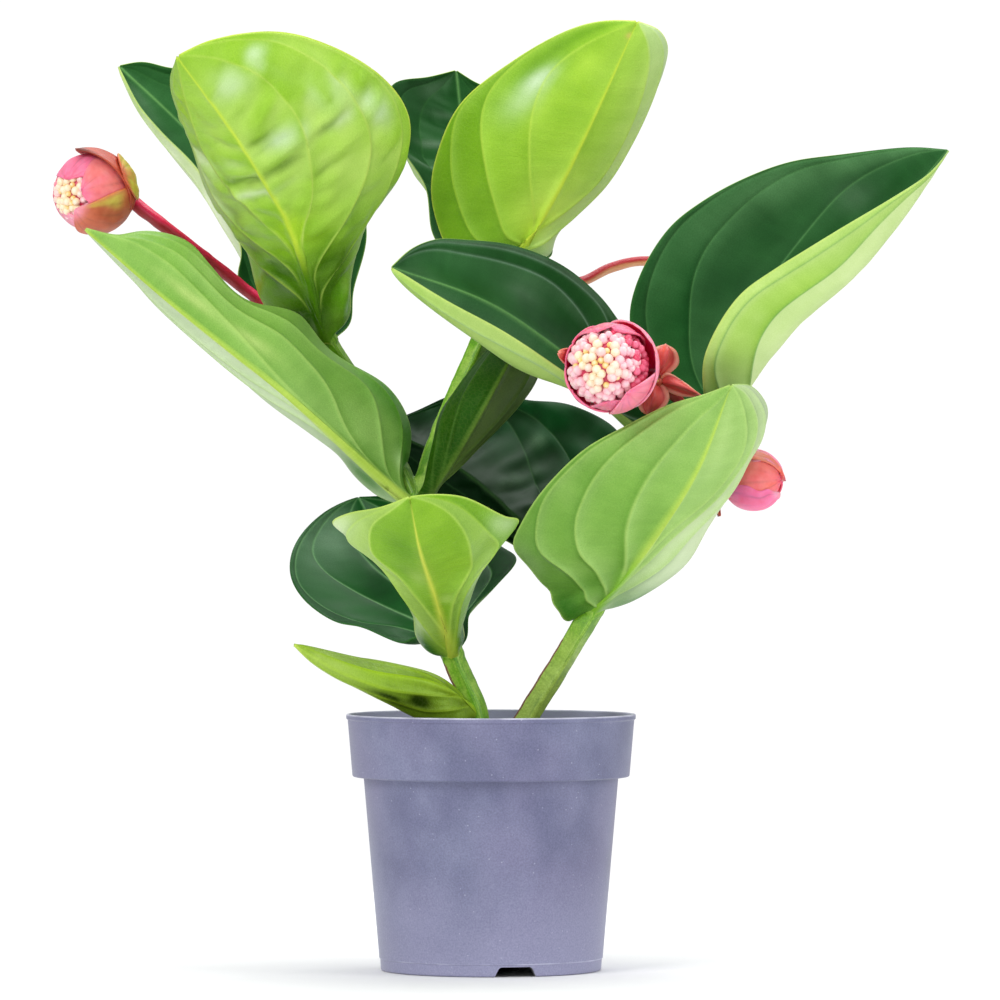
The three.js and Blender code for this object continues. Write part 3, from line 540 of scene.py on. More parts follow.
leaf(
    DARK, "leaf_top_left_back", sag=(8, 9), crease=0.5,
    rib=[(-67, 12, 261), (-91.5, 56, 304), (-126.5, 80, 348.5), (-159, 84, 380)],
    left=[(-59, 18, 268), (-58, 26, 281.5), (-52.5, 40, 307.5), (-61.5, 56, 338), (-85, 72, 367.5),
        (-113.5, 82, 379), (-136.5, 86, 379), (-149, 86, 382)],
    right=[(-74.5, 25, 267.5), (-95.5, 33, 277.5), (-105.5, 36, 286.5), (-104.5, 38, 299.5),
        (-111.5, 38, 314.5), (-124, 44, 334), (-140, 56, 351), (-149.5, 68, 362.5)],
    upper_paint=[(SHEEN, (90, 30, 6, 20, 30), (70, -40, 10, 20, 30))],
    under_paint=[(WHITISH_SHEEN, (40, 70, 50, 60, 95))],
)
leaf(
    DARK, "leaf_top_middle_back", sag=(6, 10), crease=0.3, ripple=0.8, tone=0.75, broken=0.8,
    rib=[(10, 19, 296.5), (-1, 48, 319), (-11, 72, 347.5), (-15, 84, 378)],
    left=[(25, 29, 296.5), (26, 35, 305.5), (36, 48, 325), (33.5, 61, 346.5), (17, 74, 365), (-5, 82, 372)],
    right=[(-15, 22, 295.5), (-24, 30, 305.5), (-27, 42, 327), (-36.5, 50, 342), (-44.5, 62, 356.5),
        (-41.5, 76, 372), (-26.5, 82, 375)],
    folds=[(83, 30, 2.5, 25, 1.3), (76, 30, 2, 25, -1.2), (69, 35, 2, 25, 1.3), (63, 40, 2, 25, -1.2),
        (57, 50, 2, 25, 1.3), (50, 50, 2, 25, -1.2)],
    upper_paint=[(SHEEN, (80, 30, 1.2, 20, 70), (68, 35, 1.2, 20, 80), (58, 55, 1, 20, 60),
        (90, 60, 10, 30, 30))],
    under_paint=[(WHITISH_SHEEN, (30, 70, 40, 50, 50))],
)
leaf(
    YOUNG, "leaf_top_middle", sag=(8, 8), quilt=0.5, ripple=0.3, wave=0.5, crease=0.45, vein_paint=0.8,
    dull=0.4,
    rib=[(10, 12, 296), (26, -2, 321), (44, -16, 356.5), (60, -22, 391.5)],
    left=[(-15, 12, 296), (-23, 12, 311), (-25, 8, 324), (-23, 4, 336), (-13, -4, 358), (10, -12, 376.5),
        (33, -18, 388.5), (46, -21, 391.5)],
    right=[(24, 18, 296.5), (27, 26, 307.5), (34, 32, 315.5), (48, 32, 329.5), (58, 26, 345.5),
        (66, 16, 360.5), (71, 6, 372), (73, -4, 382), (69, -14, 388.5)],
    veins_left=[(15, 3, 20, 8, 38, 25, 49, 35, 62, 50, 70, 60, 78, 62, 89, 55, 100, 50),
        (8, 10, 15, 34, 28, 44, 39, 58, 52, 78, 60, 89, 70, 95), (5, 30, 19, 69, 27, 73, 40, 88, 50, 97)],
    veins_right=[(12, 5, 23, 22, 32, 33, 41, 42, 60, 46, 98, 45), (5, 20, 20, 50, 50, 75, 90, 80)],
    under_bands=[("shade", (-3, 50), (-4, 55)), (WHITISH_SHEEN, (2, 40), (3, 60))],
    under_paint=[(GLINT, (68, -64, 5, 10, 70), (60, -60, 6, 12, 35)),
        (rgb(190, 228, 80), (79, -32, 6, 16, 50), (60, -40, 8, 10, 30)), ("shade", (80, -80, 20, 12, 75)),
        (rgb(198, 226, 130), (50, 60, 40, 40, 75)), (rgb(206, 236, 108), (25, 10, 15, 30, 85)),
        (rgb(174, 216, 74), (50, 10, 45, 60, 35)), (rgb(186, 224, 60), (13, 0, 14, 20, 80)),
        (rgb(206, 190, 96), (94, -8, 1.2, 10, 80))],
)
leaf(
    DARK, "leaf_centre", sag=(8, 14), quilt=0.3, ripple=0.25, crease=0.3, vein_tone=rgb(142, 178, 148),
    vein_paint=0.75, tone=0.82, flatter=(34, 15),
    rib=[(88, 8, 220), (45, -8, 245), (1, -30, 274.5), (-40.5, -46, 289.5)],
    left=[(82.5, 25, 226), (70.5, 38, 245.5), (62.5, 36, 259.5), (54, 30, 269.5), (47, 24, 278.5),
        (30, 8, 292), (9, -8, 300), (-11, -24, 301.5), (-22, -31, 301.5), (-32, -38, 297.5),
        (-38.5, -44, 291.5)],
    right=[(82, 0, 215), (61, -20, 225), (31, -42, 246.5), (9, -56, 260.5), (-18, -64, 276),
        (-31.5, -58, 284)],
    veins_left=[(20, 20, 30, 50, 42, 75.5, 53, 82, 60, 82, 70, 79, 80, 80, 100, 85),
        (20, 60, 40, 95, 70, 94, 100, 95)],
    veins_right=[(10, 10, 30, 40, 60, 50, 100, 50), (10, 40, 30, 85, 53, 93, 60, 89, 70, 83, 100, 80)],
    upper_paint=[(SHEEN, (60, -55, 6, 14, 40), (55, -74, 10, 5, 50)), ("shade", (75, -30, 8, 20, 35),
        (47, -30, 8, 20, 50)), (SHEEN, (70, 30, 30, 25, 25), (95, 0, 8, 60, 15), (60, -97, 40, 3, 60))],
    under_paint=[(rgb(190, 220, 124), (65, 100, 40, 120, 75))],
)
leaf(
    DARK, "leaf_right", sag=(13, 16), quilt=0.3, ripple=0.25, crease=0.6, vein_tone=rgb(96, 150, 88),
    tone=0.95, tip=1.6,
    rib=[(90, 6, 221), (121, 2, 263), (156, 2, 300), (190, 4, 340)],
    left=[(88, -18, 234), (87.5, -40, 254.5), (100.5, -50, 277.5), (115, -50, 288.5), (128, -48, 296.5),
        (143, -42, 305.5), (164.5, -28, 318.5), (179.5, -14, 328.5), (185, -6, 334)],
    right=[(79, 14, 228), (67, 22, 245), (58, 24, 268), (61, 22, 285.5), (74, 20, 307.5), (89, 20, 319.5),
        (105.5, 20, 328.5), (124.5, 20, 335.5), (145.5, 18, 338.5), (174.5, 12, 341.5)],
    veins_left=[(10, 15, 23, 48, 33, 69, 40, 72, 48, 74, 58, 73, 71, 83, 83, 90, 100, 90),
        (8, 60, 23, 92, 36, 94.5, 54, 93, 67, 93, 80, 97)],
    veins_right=[(20, 5, 35, 25, 49, 37, 59, 44, 69, 54, 81, 70, 100, 80),
        (8, 30, 17, 60, 30, 63, 39, 74, 54, 83, 65, 90, 77, 94, 100, 96), (10, 80, 27, 90, 38, 95, 60, 98.5)],
    upper_bands=[(SHEEN, (2, 5)), ("shade", (1, 35)), (rgb(40, 104, 46), (3, 60), (4, 60))],
    upper_paint=[("shade", (42, 45, 5, 12, 50)), (rgb(104, 156, 100), (70, 90, 30, 14, 60)),
        (SHEEN, (75, 50, 5, 20, 25))],
    under_bands=[(rgb(220, 236, 176), (-1, 55))],
    under_paint=[(rgb(206, 230, 142), (40, -97, 30, 4, 60)), (rgb(104, 132, 96), (100, 0, 5, 200, 90))],
)
leaf(
    DARK, "leaf_middle_back", upper=SHADED_BACK_UPPER, sag=(6, 6), quilt=0.5, ripple=1.4, fine=0.9, broken=0.9,
    crease=0.2, dull=0.1, tone=0.6,
    rib=[(42, 2, 149), (12, 38, 186), (-18, 62, 211), (-48.5, 80, 226.5)],
    left=[(46, 14, 161), (53.5, 40, 186), (57.5, 62, 210), (53.5, 76, 224.5), (33.5, 88, 235.5),
        (14, 92, 237.5), (-5, 94, 242.5), (-19.5, 92, 238.5), (-32.5, 88, 232.5)],
    right=[(35, 14, 153), (25, 22, 161), (9, 36, 176), (-14, 54, 186), (-32.5, 70, 199), (-45.5, 80, 214)],
    veins_left=[(36, 15, 48, 30, 53, 35, 58, 44, 64, 60, 71, 84, 100, 93),
        (40, 50, 51, 64, 55, 70, 60, 75, 69, 93, 100, 97)],
    folds=[(60, -35, 2, 20, 1.4), (52, -20, 2, 20, -1.2), (45, -10, 2, 20, 1.2), (70, -50, 2, 15, -1.2)],
    upper_paint=[(rgb(4, 66, 24), (60, -80, 35, 35, 85)), (SHEEN, (55, -30, 2, 20, 30), (60, -62, 2, 8, 40)),
        (rgb(60, 66, 60), (53, 0, 5, 8, 20)), (rgb(66, 72, 66), (62, -12, 3, 10, 30))],
)
leaf(
    PALE, "leaf_right_front", sag=(6, 8), quilt=1.1, ripple=0.35, wave=1.2, crease=0.85, ridges=1.4,
    rib_width=3.6, rib_paint=1.9, rib_base=rgb(128, 186, 30), flatter=(38, 20),
    rib=[(42, -2, 150), (65, -28, 177), (84.5, -46, 208), (97.5, -54, 241.5)],
    left=[(30.7, -2, 144), (29, -2.5, 149), (25, -3, 150.5), (25.3, -4, 157), (22, -4.5, 159.5),
        (16, -10, 167), (9, -16, 176), (12, -20, 184), (20, -28, 197), (38, -40, 215), (53.5, -47, 224),
        (72.5, -52, 233.5), (86.5, -54, 237.5)],
    right=[(49, 4, 150), (62, 10, 154), (81, 14, 167), (90, 12, 184), (102, 2, 203), (107, -8, 215),
        (112.5, -18, 224), (113.5, -30, 233), (105.5, -46, 241.5)],
    veins_left=[(22, 4, 25, 7, 34, 14, 41, 23, 53, 32, 71, 40, 88, 39, 100, 30),
        (12, 8, 16, 21, 26, 33, 34, 49, 38, 57, 44, 64, 56, 73, 75, 80),
        (6, 20, 10, 42, 20, 50, 28, 65, 33, 82, 46, 95)],
    veins_right=[(22, 3, 34, 6, 44, 14, 56, 29, 64, 38, 74, 45, 100, 41),
        (17, 6, 34, 17, 42, 27, 55, 42, 65, 55, 80, 65), (10, 15, 23, 30, 40, 60, 60, 85)],
    folds=[(5, -75, 2, 30, 1.2), (10, -80, 1.6, 25, -1.4), (14, -80, 1.6, 25, 1.4)],
    under_bands=[("pale", (1, 30), (2, 60)), (rgb(206, 224, 172), (3, 80)), (rgb(214, 228, 188), (4, 85))],
    under_paint=[(rgb(150, 176, 124), (28, -95, 6, 12, 60)), (rgb(34, 98, 14), (10, -85, 10, 45, 90)),
        ("shade", (19, -55, 5, 16, 60), (40, -90, 35, 40, 35)), (rgb(60, 120, 40), (10, 50, 8, 40, 60)),
        (rgb(66, 128, 36), (10, 90, 13, 50, 90)), ("shade", (20, -35, 6, 12, 50)),
        ("pale", (80, 15, 12, 10, 60))],
)
leaf(
    DARK, "leaf_centre_upright", under=OLIVE_UNDER, sag=(4, 4), quilt=0.3, ripple=0.15, crease=0.2,
    rib_paint=0.2, vein_paint=0.4,
    rib=[(-29, -4, 194), (-12, -14, 218), (2, -14, 242), (16, 6, 269)],
    left=[(-27, -7, 206), (-24, -6, 219), (-21, -2, 231), (-11, 4, 245), (0, 8, 258), (8, 8, 266)],
    right=[(-20, -2, 204), (-10, 8, 215), (4, 22, 228), (11, 26, 235), (19, 28, 245), (23, 24, 258)],
    under_bands=[(rgb(94, 114, 56), (1, 70), (2, 70), (3, 70))],
)
leaf(
    PALE, "leaf_left", sag=(2.5, 8), quilt=0.7, ripple=0.35, rib_paint=1.0,
    rib=[(-33, -4, 192), (-81, -34, 235.8), (-105, -41, 254.4), (-129.5, -44, 274), (-166, -40, 305.5)],
    left=[(-44, -2, 195), (-52, 6, 200), (-58, 8, 206), (-63, 8, 213), (-76, 6, 223), (-93, 4, 235),
        (-113, -2, 253), (-127, -8, 266), (-138.5, -14, 277), (-147.5, -22, 287.5), (-156.5, -32, 296.5)],
    right=[(-37, 2, 201), (-34, 12, 215), (-34, 12, 226), (-42, 6, 241), (-67, -8, 257), (-79, -12, 271),
        (-86, -13, 273), (-99, -15, 275), (-106.5, -18, 280), (-116.5, -24, 292.5), (-124.5, -28, 300.5),
        (-141.5, -33, 304.5), (-153, -37, 302.5)],
    veins_left=[(30, 3, 40, 12, 50, 30, 70, 50, 100, 60), (20, 6, 35, 25, 45, 50, 60, 72, 80, 85)],
    veins_right=[(42, 4, 54, 12, 61, 20, 68, 27, 84, 40, 100, 60),
        (16, 4, 28, 12, 36, 30, 43, 40, 56, 42, 63, 43, 80, 60),
        (9, 10, 19, 32, 27, 55, 32, 70, 39, 68, 50, 62, 70, 80), (5, 30, 14, 55, 20, 78, 40, 93)],
    under_bands=[(WHITISH_SHEEN, (-1, 65), (-2, 70), (-3, 60))],
    under_paint=[(rgb(168, 212, 112), (22, 60, 9, 30, 70)), (rgb(58, 136, 6), (22, 85, 15, 32, 85)),
        (rgb(70, 150, 16), (13, 72, 5, 14, 80)), (rgb(190, 226, 150), (12, 50, 3, 10, 60)),
        (rgb(56, 120, 20), (14, -50, 9, 50, 90)), ("shade", (33, 35, 10, 20, 40)),
        (rgb(196, 218, 130), (55, 20, 6, 6, 50), (72, 20, 8, 6, 50))],
)
leaf(
    YOUNG, "leaf_front", under=FRONT_UNDER, sag=(6, 6), quilt=0.8, ripple=0.6, rib_paint=1.6,
    rib=[(-16, -9, 131), (-22, -52, 153.5), (-28.5, -84, 175), (-32.5, -96, 196)],
    left=[(-24, -12, 131), (-30.5, -19, 138), (-32, -32, 148), (-41.5, -58, 164.5), (-49.5, -70, 176),
        (-64.5, -72, 185), (-58.5, -80, 189), (-43.5, -92, 192)],
    right=[(-11, -16, 137), (-12, -28, 146), (-6, -50, 162), (3, -64, 175), (12, -66, 186), (6, -76, 188),
        (-11, -92, 196), (-22.5, -96, 197)],
    veins_left=[(20, 5, 43, 22, 61, 38, 73, 50, 80, 64, 85, 72, 100, 74),
        (8, 20, 30, 45, 60, 70, 80, 85, 100, 90)],
    veins_right=[(10, 6, 26, 16, 41, 23, 52, 34, 64, 41, 71, 54, 80, 63, 100, 75),
        (5, 20, 20, 33, 38, 38, 49, 47, 56, 60, 63, 74, 100, 90)],
    under_bands=[(PALE_LIME, (-2, 45), (-3, 50), (2, 25)), (LEMON, (1, 12))],
    under_paint=[(WHITISH_SHEEN, (50, 60, 8, 8, 25)), (rgb(6, 92, 22), (12, -80, 9, 42, 100), (10, 85, 8, 42, 100)),
        (PALE_LIME, (62, -12, 5, 10, 40), (45, 15, 3, 12, 40)), ("shade", (75, -15, 15, 20, 50)),
        (LEMON, (12, 0, 10, 40, 50)), (WHITISH_SHEEN, (70, -95, 10, 20, 50), (67, 92, 5, 12, 35))],
)
leaf(
    DARK, "leaf_low_back", under=LOW_BACK_UNDER, upper=LOW_BACK_UPPER, sag=(6, 6), quilt=0.3, ripple=0.3,
    crease=0.35, vein_tone=rgb(150, 208, 140), vein_paint=0.85, tone=0.66,
    rib=[(-16, -6, 131), (-31, 35, 153), (-45.5, 72, 175), (-57, 96, 196)],
    left=[(-10, 2, 137), (-9, 10, 147), (2, 34, 158), (11, 52, 169), (4, 70, 175), (-17.5, 88, 188),
        (-39.5, 96, 196)],
    right=[(-31, 6, 138), (-37, 12, 135), (-55, 24, 142), (-65.5, 34, 144), (-78.5, 48, 152.5),
        (-84.5, 58, 161.5), (-85, 68, 171), (-81, 78, 180), (-72, 88, 189), (-63, 94, 194)],
    veins_right=[(36, 3, 50, 8, 59, 13, 74, 25, 83, 42, 100, 50),
        (20, 8, 27, 16, 40, 27, 51, 37, 61, 50, 68, 69, 74, 82, 100, 86),
        (15, 15, 24, 32, 33, 48, 39, 69, 48, 86, 60, 95)],
    upper_paint=[(SHEEN, (65, 17, 3, 8, 30), (78, 50, 4, 20, 20)), (rgb(150, 186, 154), (80, 72, 14, 35, 45)),
        (DARK_UPPER["shade"], (55, 25, 10, 15, 60)), (SHEEN, (20, 80, 10, 20, 20))],
    under_paint=[(rgb(30, 84, 34), (20, 90, 30, 50, 95))],
)
leaf(
    YOUNG, "leaf_lowest", under=LOW_UNDER, sag=(3, 3), quilt=0.3, crease=0.35, broken=0.8,
    rib=[(-7, -9, 106), (-24, -26, 118.5), (-50.5, -38, 124.5), (-80.5, -44, 135.5)],
    left=[(-15, -20, 101.5), (-29, -24, 104.5), (-42, -30, 111.5), (-53.5, -36, 117.5), (-64.5, -40, 122.5),
        (-73.5, -43, 128.5)],
    right=[(-8, -4, 111), (-16, -2, 116), (-26, -2, 121), (-38, -6, 124), (-51, -16, 127), (-62, -26, 129),
        (-75.5, -40, 133.5)],
    under_paint=[(OLIVE_SPOT, (36, -50, 7, 22, 85), (50, -72, 10, 16, 80), (62, -85, 8, 12, 70),
        (24, -80, 10, 30, 70)), (rgb(96, 126, 6), (15, 0, 12, 60, 60)), (OLIVE_SPOT, (52, -30, 6, 10, 35)),
        (rgb(196, 218, 120), (85, -20, 15, 50, 50)), (rgb(190, 216, 110), (60, 80, 40, 25, 45))],
)


def side_columns(u, width, tracks, rib_width):
    """Places from the midrib (0) to the margin (1) for each row, gathered round each vein."""
    knots = [np.zeros_like(u)]
    for k, (at, out) in enumerate(tracks):
        line = smoothed(np.interp(u, [0, *at], [0.02 * (k + 1), *out]), 30)
        knots.append(np.maximum(line, knots[-1] + 0.02))
    for k in range(len(knots) - 1, 0, -1):
        knots[k] = np.minimum(knots[k], 1 - 0.015 * (len(knots) - k))
    knots.append(np.ones_like(u))
    clear = [0.75 * wide for wide in (rib_width, *VEIN_WIDTHS[:len(tracks)])] + [0.4]
    steps = []
    for k in range(len(knots) - 1):
        start, end = knots[k], knots[k + 1]
        after, before = [np.minimum(reach / width, 0.2 * (end - start)) for reach in clear[k:k + 2]]
        steps += [start, start + after, start + 2 * after]
        for j in range(1, INNER):
            share = j / INNER
            steps.append((start + 2 * after) * (1 - share) + (end - 2 * before) * share)
        steps += [end - 2 * before, end - before]
    return np.stack(steps + [knots[-1]], 1), [knot[:, None] for knot in knots]


def panels(v, wide, knots):
    """How deep each point lies inside its panel between two veins, and the panel's number from the midrib."""
    panel, step = np.zeros_like(v), np.zeros_like(v)
    for k, (start, end) in enumerate(zip(knots, knots[1:])):
        w = (v - start) / (end - start)
        inside = (w >= 0) & (w < 1)
        size = (end - start) * wide / PANEL_WIDTH
        panel = np.where(inside, 4 * w * (1 - w) * np.clip(size, 0, 1.2), panel)
        step = np.where(inside, k, step)
    return panel, np.where(v >= 1, len(knots) - 2, step)


def vein_relief(v, wide, row, tracks, knots, height):
    """Ridges and grooves of the side veins, their paint, and the painted shade and painted light of the
    creases beside them.
    """
    ridges, grooves, vein, dark, light = np.zeros((5, *v.shape))
    fade = (1 - row) ** 0.35
    for k, (at, _) in enumerate(tracks):
        off = (v - knots[k + 1]) * wide
        begun = fade * smoothstep(row, at[0] - 0.07, at[0] + 0.02)
        line = np.exp(-((off / VEIN_WIDTHS[k]) ** 2)) * begun
        thin = np.exp(-((off / (VEIN_PAINT_SHARE * VEIN_WIDTHS[k])) ** 2)) * begun
        ridges = np.maximum(ridges, VEIN_HEIGHTS[k] * height * line)
        grooves = np.maximum(grooves, GROOVE_DEPTH * line)
        vein = np.maximum(vein, VEIN_PAINTS[k] * thin)
        dark = np.maximum(dark, np.where(off > 0, np.exp(-off / CREASE_REACH), 0) * fade)
        light = np.maximum(light, np.where(off < 0, np.exp(off / CREASE_REACH), 0) * fade)
    return ridges, grooves, vein, dark, light


def leaf_side(leaf, side, sign, sag, spine, ripple, swell):
    """Half of a leaf from midrib to margin: its middle surface, the relief on it, and what paints it."""
    u, row, along = spine.u, spine.row, spine.along
    margin = smoothed(curve([leaf["rib"][0], *leaf[side], leaf["rib"][-1]])(u), 4)
    across = margin - spine.middle
    width = np.maximum(np.linalg.norm(across, axis=1), 0.2)
    up = np.cross(spine.tangent, across) * sign
    up[:2], up[-2:] = up[2], up[-3]
    up = unit(smoothed(unit(up), 4))
    tracks = [np.reshape(track, (-1, 2)).T / 100 for track in leaf["veins_" + side]]
    v, knots = side_columns(u, width, tracks, spine.rib_width)
    if leaf["flatter"] and side == "right":
        at, span = leaf["flatter"]
        sag = sag * (1 - FLATTENING * np.exp(-(((100 * u - at) / span) ** 2)))
    s, wide = v[..., None], width[:, None]
    droop = up * (sag * spine.depth)[:, None]
    points = spine.middle[:, None] + across[:, None] * s - droop[:, None] * s * (1 - s)
    distance = v * wide
    panel, step = panels(v, wide, knots)
    slant = along - RIPPLE_SLANT * distance
    bumps = ripple(slant / RIPPLE_LENGTH, step * 7 + sign * 3 + distance / 14)
    bumps += leaf["fine"] * ripple(slant / FINE_LENGTH + 9, step * 5 - sign * 3 + distance / 8)
    taper = np.sin(math.pi * row) ** 0.5
    lift = panel * taper * (leaf["quilt"] + leaf["ripple"] * bumps)
    lift += leaf["wave"] * v**2 * taper * swell(along / SWELL_LENGTH, sign * 5 + v * 0.7)
    for *where, height in leaf["folds"]:
        cu, cv, ru, rv = np.array(where) / 100
        off = (row - cu - FOLD_SLANT * (v * sign - cv)) / ru
        lift += height * np.exp(-off**2 - ((v * sign - cv) / rv) ** 2) * smoothstep(v, 0, 0.12)
    ridges, grooves, vein, dark, light = vein_relief(v, wide, row, tracks, knots, leaf["ridges"])
    core = np.exp(-((distance / spine.rib_width[:, None]) ** 2))
    line = np.exp(-((distance / spine.rib_line[:, None]) ** 2))
    ridges = np.maximum(ridges, (0.35 + 2.5 * (1 - row) ** 1.5) * core)
    grooves = np.maximum(grooves, RIB_GROOVE_DEPTH * line)
    edge = smoothstep((1 - v) * wide, 1.0, 0.1)
    return dict(points=points, lift=lift, ridges=ridges, grooves=grooves, vein=vein, core=core, line=line,
                edge=edge, panel=panel, bumps=bumps, dark=dark, light=light, v=v * sign,
                distance=distance * sign, step=(step + 1) * sign)


def leaf_shape(leaf):
    """Middle surface of a leaf with its relief, and what paints it."""
    u = np.linspace(*LEAF_SPAN, int(ROWS * leaf["detail"]) + 1)
    rib = curve(leaf["rib"])
    middle = rib(u)
    spine = SimpleNamespace(
        u=u, row=u[:, None], middle=middle, tangent=unit(np.gradient(middle, axis=0)),
        along=u[:, None] * rib.length,
        depth=4 * np.sin(math.pi * u) ** np.where(u < 0.5, 0.7, leaf["tip"]),
        rib_width=0.5 + leaf["rib_width"] * (1 - u) ** 1.8,
        rib_line=0.32 + leaf["rib_paint"] * (1 - u) ** 1.3)
    ripple, swell, cloud = [Noise(leaf["seed"] + more) for more in (0, 50, 90)]
    left, right = [leaf_side(leaf, side, sign, sag, spine, ripple, swell)
                   for side, sign, sag in zip(("left", "right"), (-1, 1), leaf["sag"])]
    form = SimpleNamespace(**{key: np.concatenate([left[key][:, :0:-1], right[key]], axis=1) for key in left})
    form.points = form.points + grid_normals(form.points) * form.lift[..., None]
    form.normals = grid_normals(form.points)
    form.u, form.along = [np.broadcast_to(a, form.v.shape) for a in (spine.row, spine.along)]
    form.cloud = cloud(form.along / CLOUD_LENGTH, form.distance / CLOUD_WIDTH)
    return form


def leaf_tint(leaf, form, face):
    """Colour of each point of one face of a leaf."""
    look, u, v = leaf[face], form.u, form.v
    upper = face == "upper"

    def hue_of(hue):
        return look[hue] if isinstance(hue, str) else hue

    color = np.broadcast_to(look["base"], u.shape + (3,))
    # random clouds of tone, and painted shade towards the leaf's base
    color = mix(color, look["shade"], 0.3 * np.clip(form.cloud, 0, 1) + 0.3 * smoothstep(u, 0.25, 0.02))
    color = mix(color, look["pale"], 0.3 * np.clip(-form.cloud, 0, 1))
    for hue, *bands in leaf[face + "_bands"]:
        for step, strength in bands:
            color = mix(color, hue_of(hue), strength / 100 * (form.step == step))
    # painted shade on the outer side of each vein and painted light on its inner side
    color = mix(color, look["shade"], leaf["crease"] * form.dark)
    color = mix(color, look["pale"], 0.6 * leaf["crease"] * form.light)
    # painted light where a ripple rises towards the face and painted shade where it dips
    shown = form.bumps * form.panel * (1 if upper else -1)
    color = mix(color, look["pale"], 0.14 * np.clip(shown, 0, 1))
    color = mix(color, look["shade"], 0.18 * np.clip(-shown, 0, 1))
    for hue, *spots in leaf[face + "_paint"]:
        patchy = 0 if hue is DEEP_SHADE_GREEN else leaf["broken"] * np.clip(form.bumps, -1, 0.6)
        for cu, cv, ru, rv, strength in np.array(spots) / 100:
            spot = np.exp(-(((u - cu) / ru) ** 2) - ((v - cv) / rv) ** 2)
            color = mix(color, hue_of(hue), strength * spot * (1 + patchy))
    color = mix(color, leaf.get("vein_tone", look["vein"]), leaf["vein_paint"] * form.vein)
    rib_base = look["rib"] if upper else leaf.get("rib_base", look["rib"])
    color = mix(color, mix(look["rib"], rib_base, smoothstep(u, 0.36, 0.2)), 0.85 * form.line)
    color = mix(color, look["edge"], (0.2 if upper else 0.8) * form.edge)
    # the upper face of a leaf lying in shade is multiplied darker as painted shade
    return color * (leaf["tone"] if upper else 1)


def build_leaf(leaf, material):
    form = leaf_shape(leaf)
    half = BLADE_THICKNESS / 2 * (1 - 0.5 * form.edge)
    upper = form.points + form.normals * (half - form.grooves)[..., None]
    lower = form.points - form.normals * (half + form.ridges)[..., None]
    zero = np.zeros_like(form.v)
    place = np.stack([form.along, form.distance, zero + 40 * leaf["seed"]], -1)
    layers = dict(tint=both(leaf_tint(leaf, form, "upper"), leaf_tint(leaf, form, "under")),
                  place=both(place, place + (0, 0, 11)), under=both(zero, zero + 1),
                  vein=both(form.vein, np.maximum(form.vein, form.core)),
                  dull=both(zero + leaf["dull"], zero + leaf["dull"]))
    obj = mesh_object(leaf["name"] + "_blade", both(upper, lower), blade_faces(*zero.shape), material, layers)
    stand_for(obj, leaf["name"])


# ---------- rods ----------


def rod(points, radii, sides=28, step=1.3, shape=None):
    """A closed tube along a curve. shape(angle, place) scales its radius; place runs from 0 to 1."""
    path = curve(points)
    count = max(6, int(path.length / step))
    t = np.linspace(0, 1, count + 1)
    centre = path(t)
    tangent = unit(np.gradient(centre, axis=0))
    normal = np.cross(tangent[0], (0.3, -1.0, 0.2))
    normals = []
    for way in tangent:
        normal = unit(normal - way * np.dot(normal, way))
        normals.append(normal)
    normals = np.array(normals)
    angle = np.linspace(0, 2 * math.pi, sides, endpoint=False)
    radius = np.interp(t, np.linspace(0, 1, len(radii)), radii)[:, None] * np.ones(sides)
    if shape is not None:
        radius = radius * shape(angle[None, :], t[:, None])
    turn = angle[None, :, None]
    ring = np.cos(turn) * normals[:, None] + np.sin(turn) * np.cross(tangent, normals)[:, None]
    verts = centre[:, None] + ring * radius[..., None]
    at = np.arange((count + 1) * sides).reshape(count + 1, sides)
    turned = np.roll(at, -1, axis=1)
    faces = np.stack([at[:-1], turned[:-1], turned[1:], at[1:]], -1).reshape(-1, 4).tolist()
    return verts.reshape(-1, 3), faces + [at[0, ::-1].tolist(), at[-1].tolist()], centre, ring.reshape(-1, 3)


def ball(centre, radius, detail=3, stretch=(1, 1, 1)):
    bm = bmesh.new()
    bmesh.ops.create_icosphere(bm, subdivisions=detail, radius=1)
    verts = np.array([v.co for v in bm.verts]) * radius * np.asarray(stretch) + centre
    faces = [[v.index for v in f.verts] for f in bm.faces]
    bm.free()
    return verts, faces


# ---------- stems ----------

STEM_LEFT = ([(-5, -6, 72), (-5, -7, 94), (-6, -8, 107), NODE_LOW_LEFT, (-23, -6, 166), NODE_LEFT],
             [4.4, 4.4, 4.4, 4.4, 4.2, 4.2])
BRANCH_TOP = ([NODE_LEFT, (-20, 12, 225), (-5, 22, 260), NODE_TOP], [3.8, 3.8, 3.8, 3.6])
BRANCH_LEFT = ([NODE_LEFT, (-49, 14, 230), NODE_TOP_LEFT], [3.8, 3.8, 3.6])
STEM_RIGHT = ([(7, 8, 72), (9.5, 8, 94), (16, 6, 106), (29, 3, 127), NODE_RIGHT, (64, 6, 184),
               NODE_TOP_RIGHT],
              [4.4, 4.4, 4.4, 4.4, 4.3, 4, 3.8])
STEM_VOXEL = 0.55
GREEN_HEIGHTS = (116, 150)  # above the corky foot the stem turns green between these
# painted shade on the stem round this height, with this reach
SHADED_NODE_HEIGHT, SHADED_NODE_REACH = 206, 14


def stem_profile(seed):
    """A rounded square with slight dents."""
    rough = Noise(seed)

    def shape(angle, place):
        square = 1 + 0.11 * np.cos(4 * angle) + 0.025 * np.cos(8 * angle)
        square = square + 0.035 * rough(place * 26, np.cos(angle) * 2)
        return square + 0.02 * rough(place * 70, np.sin(angle) * 3)

    return shape


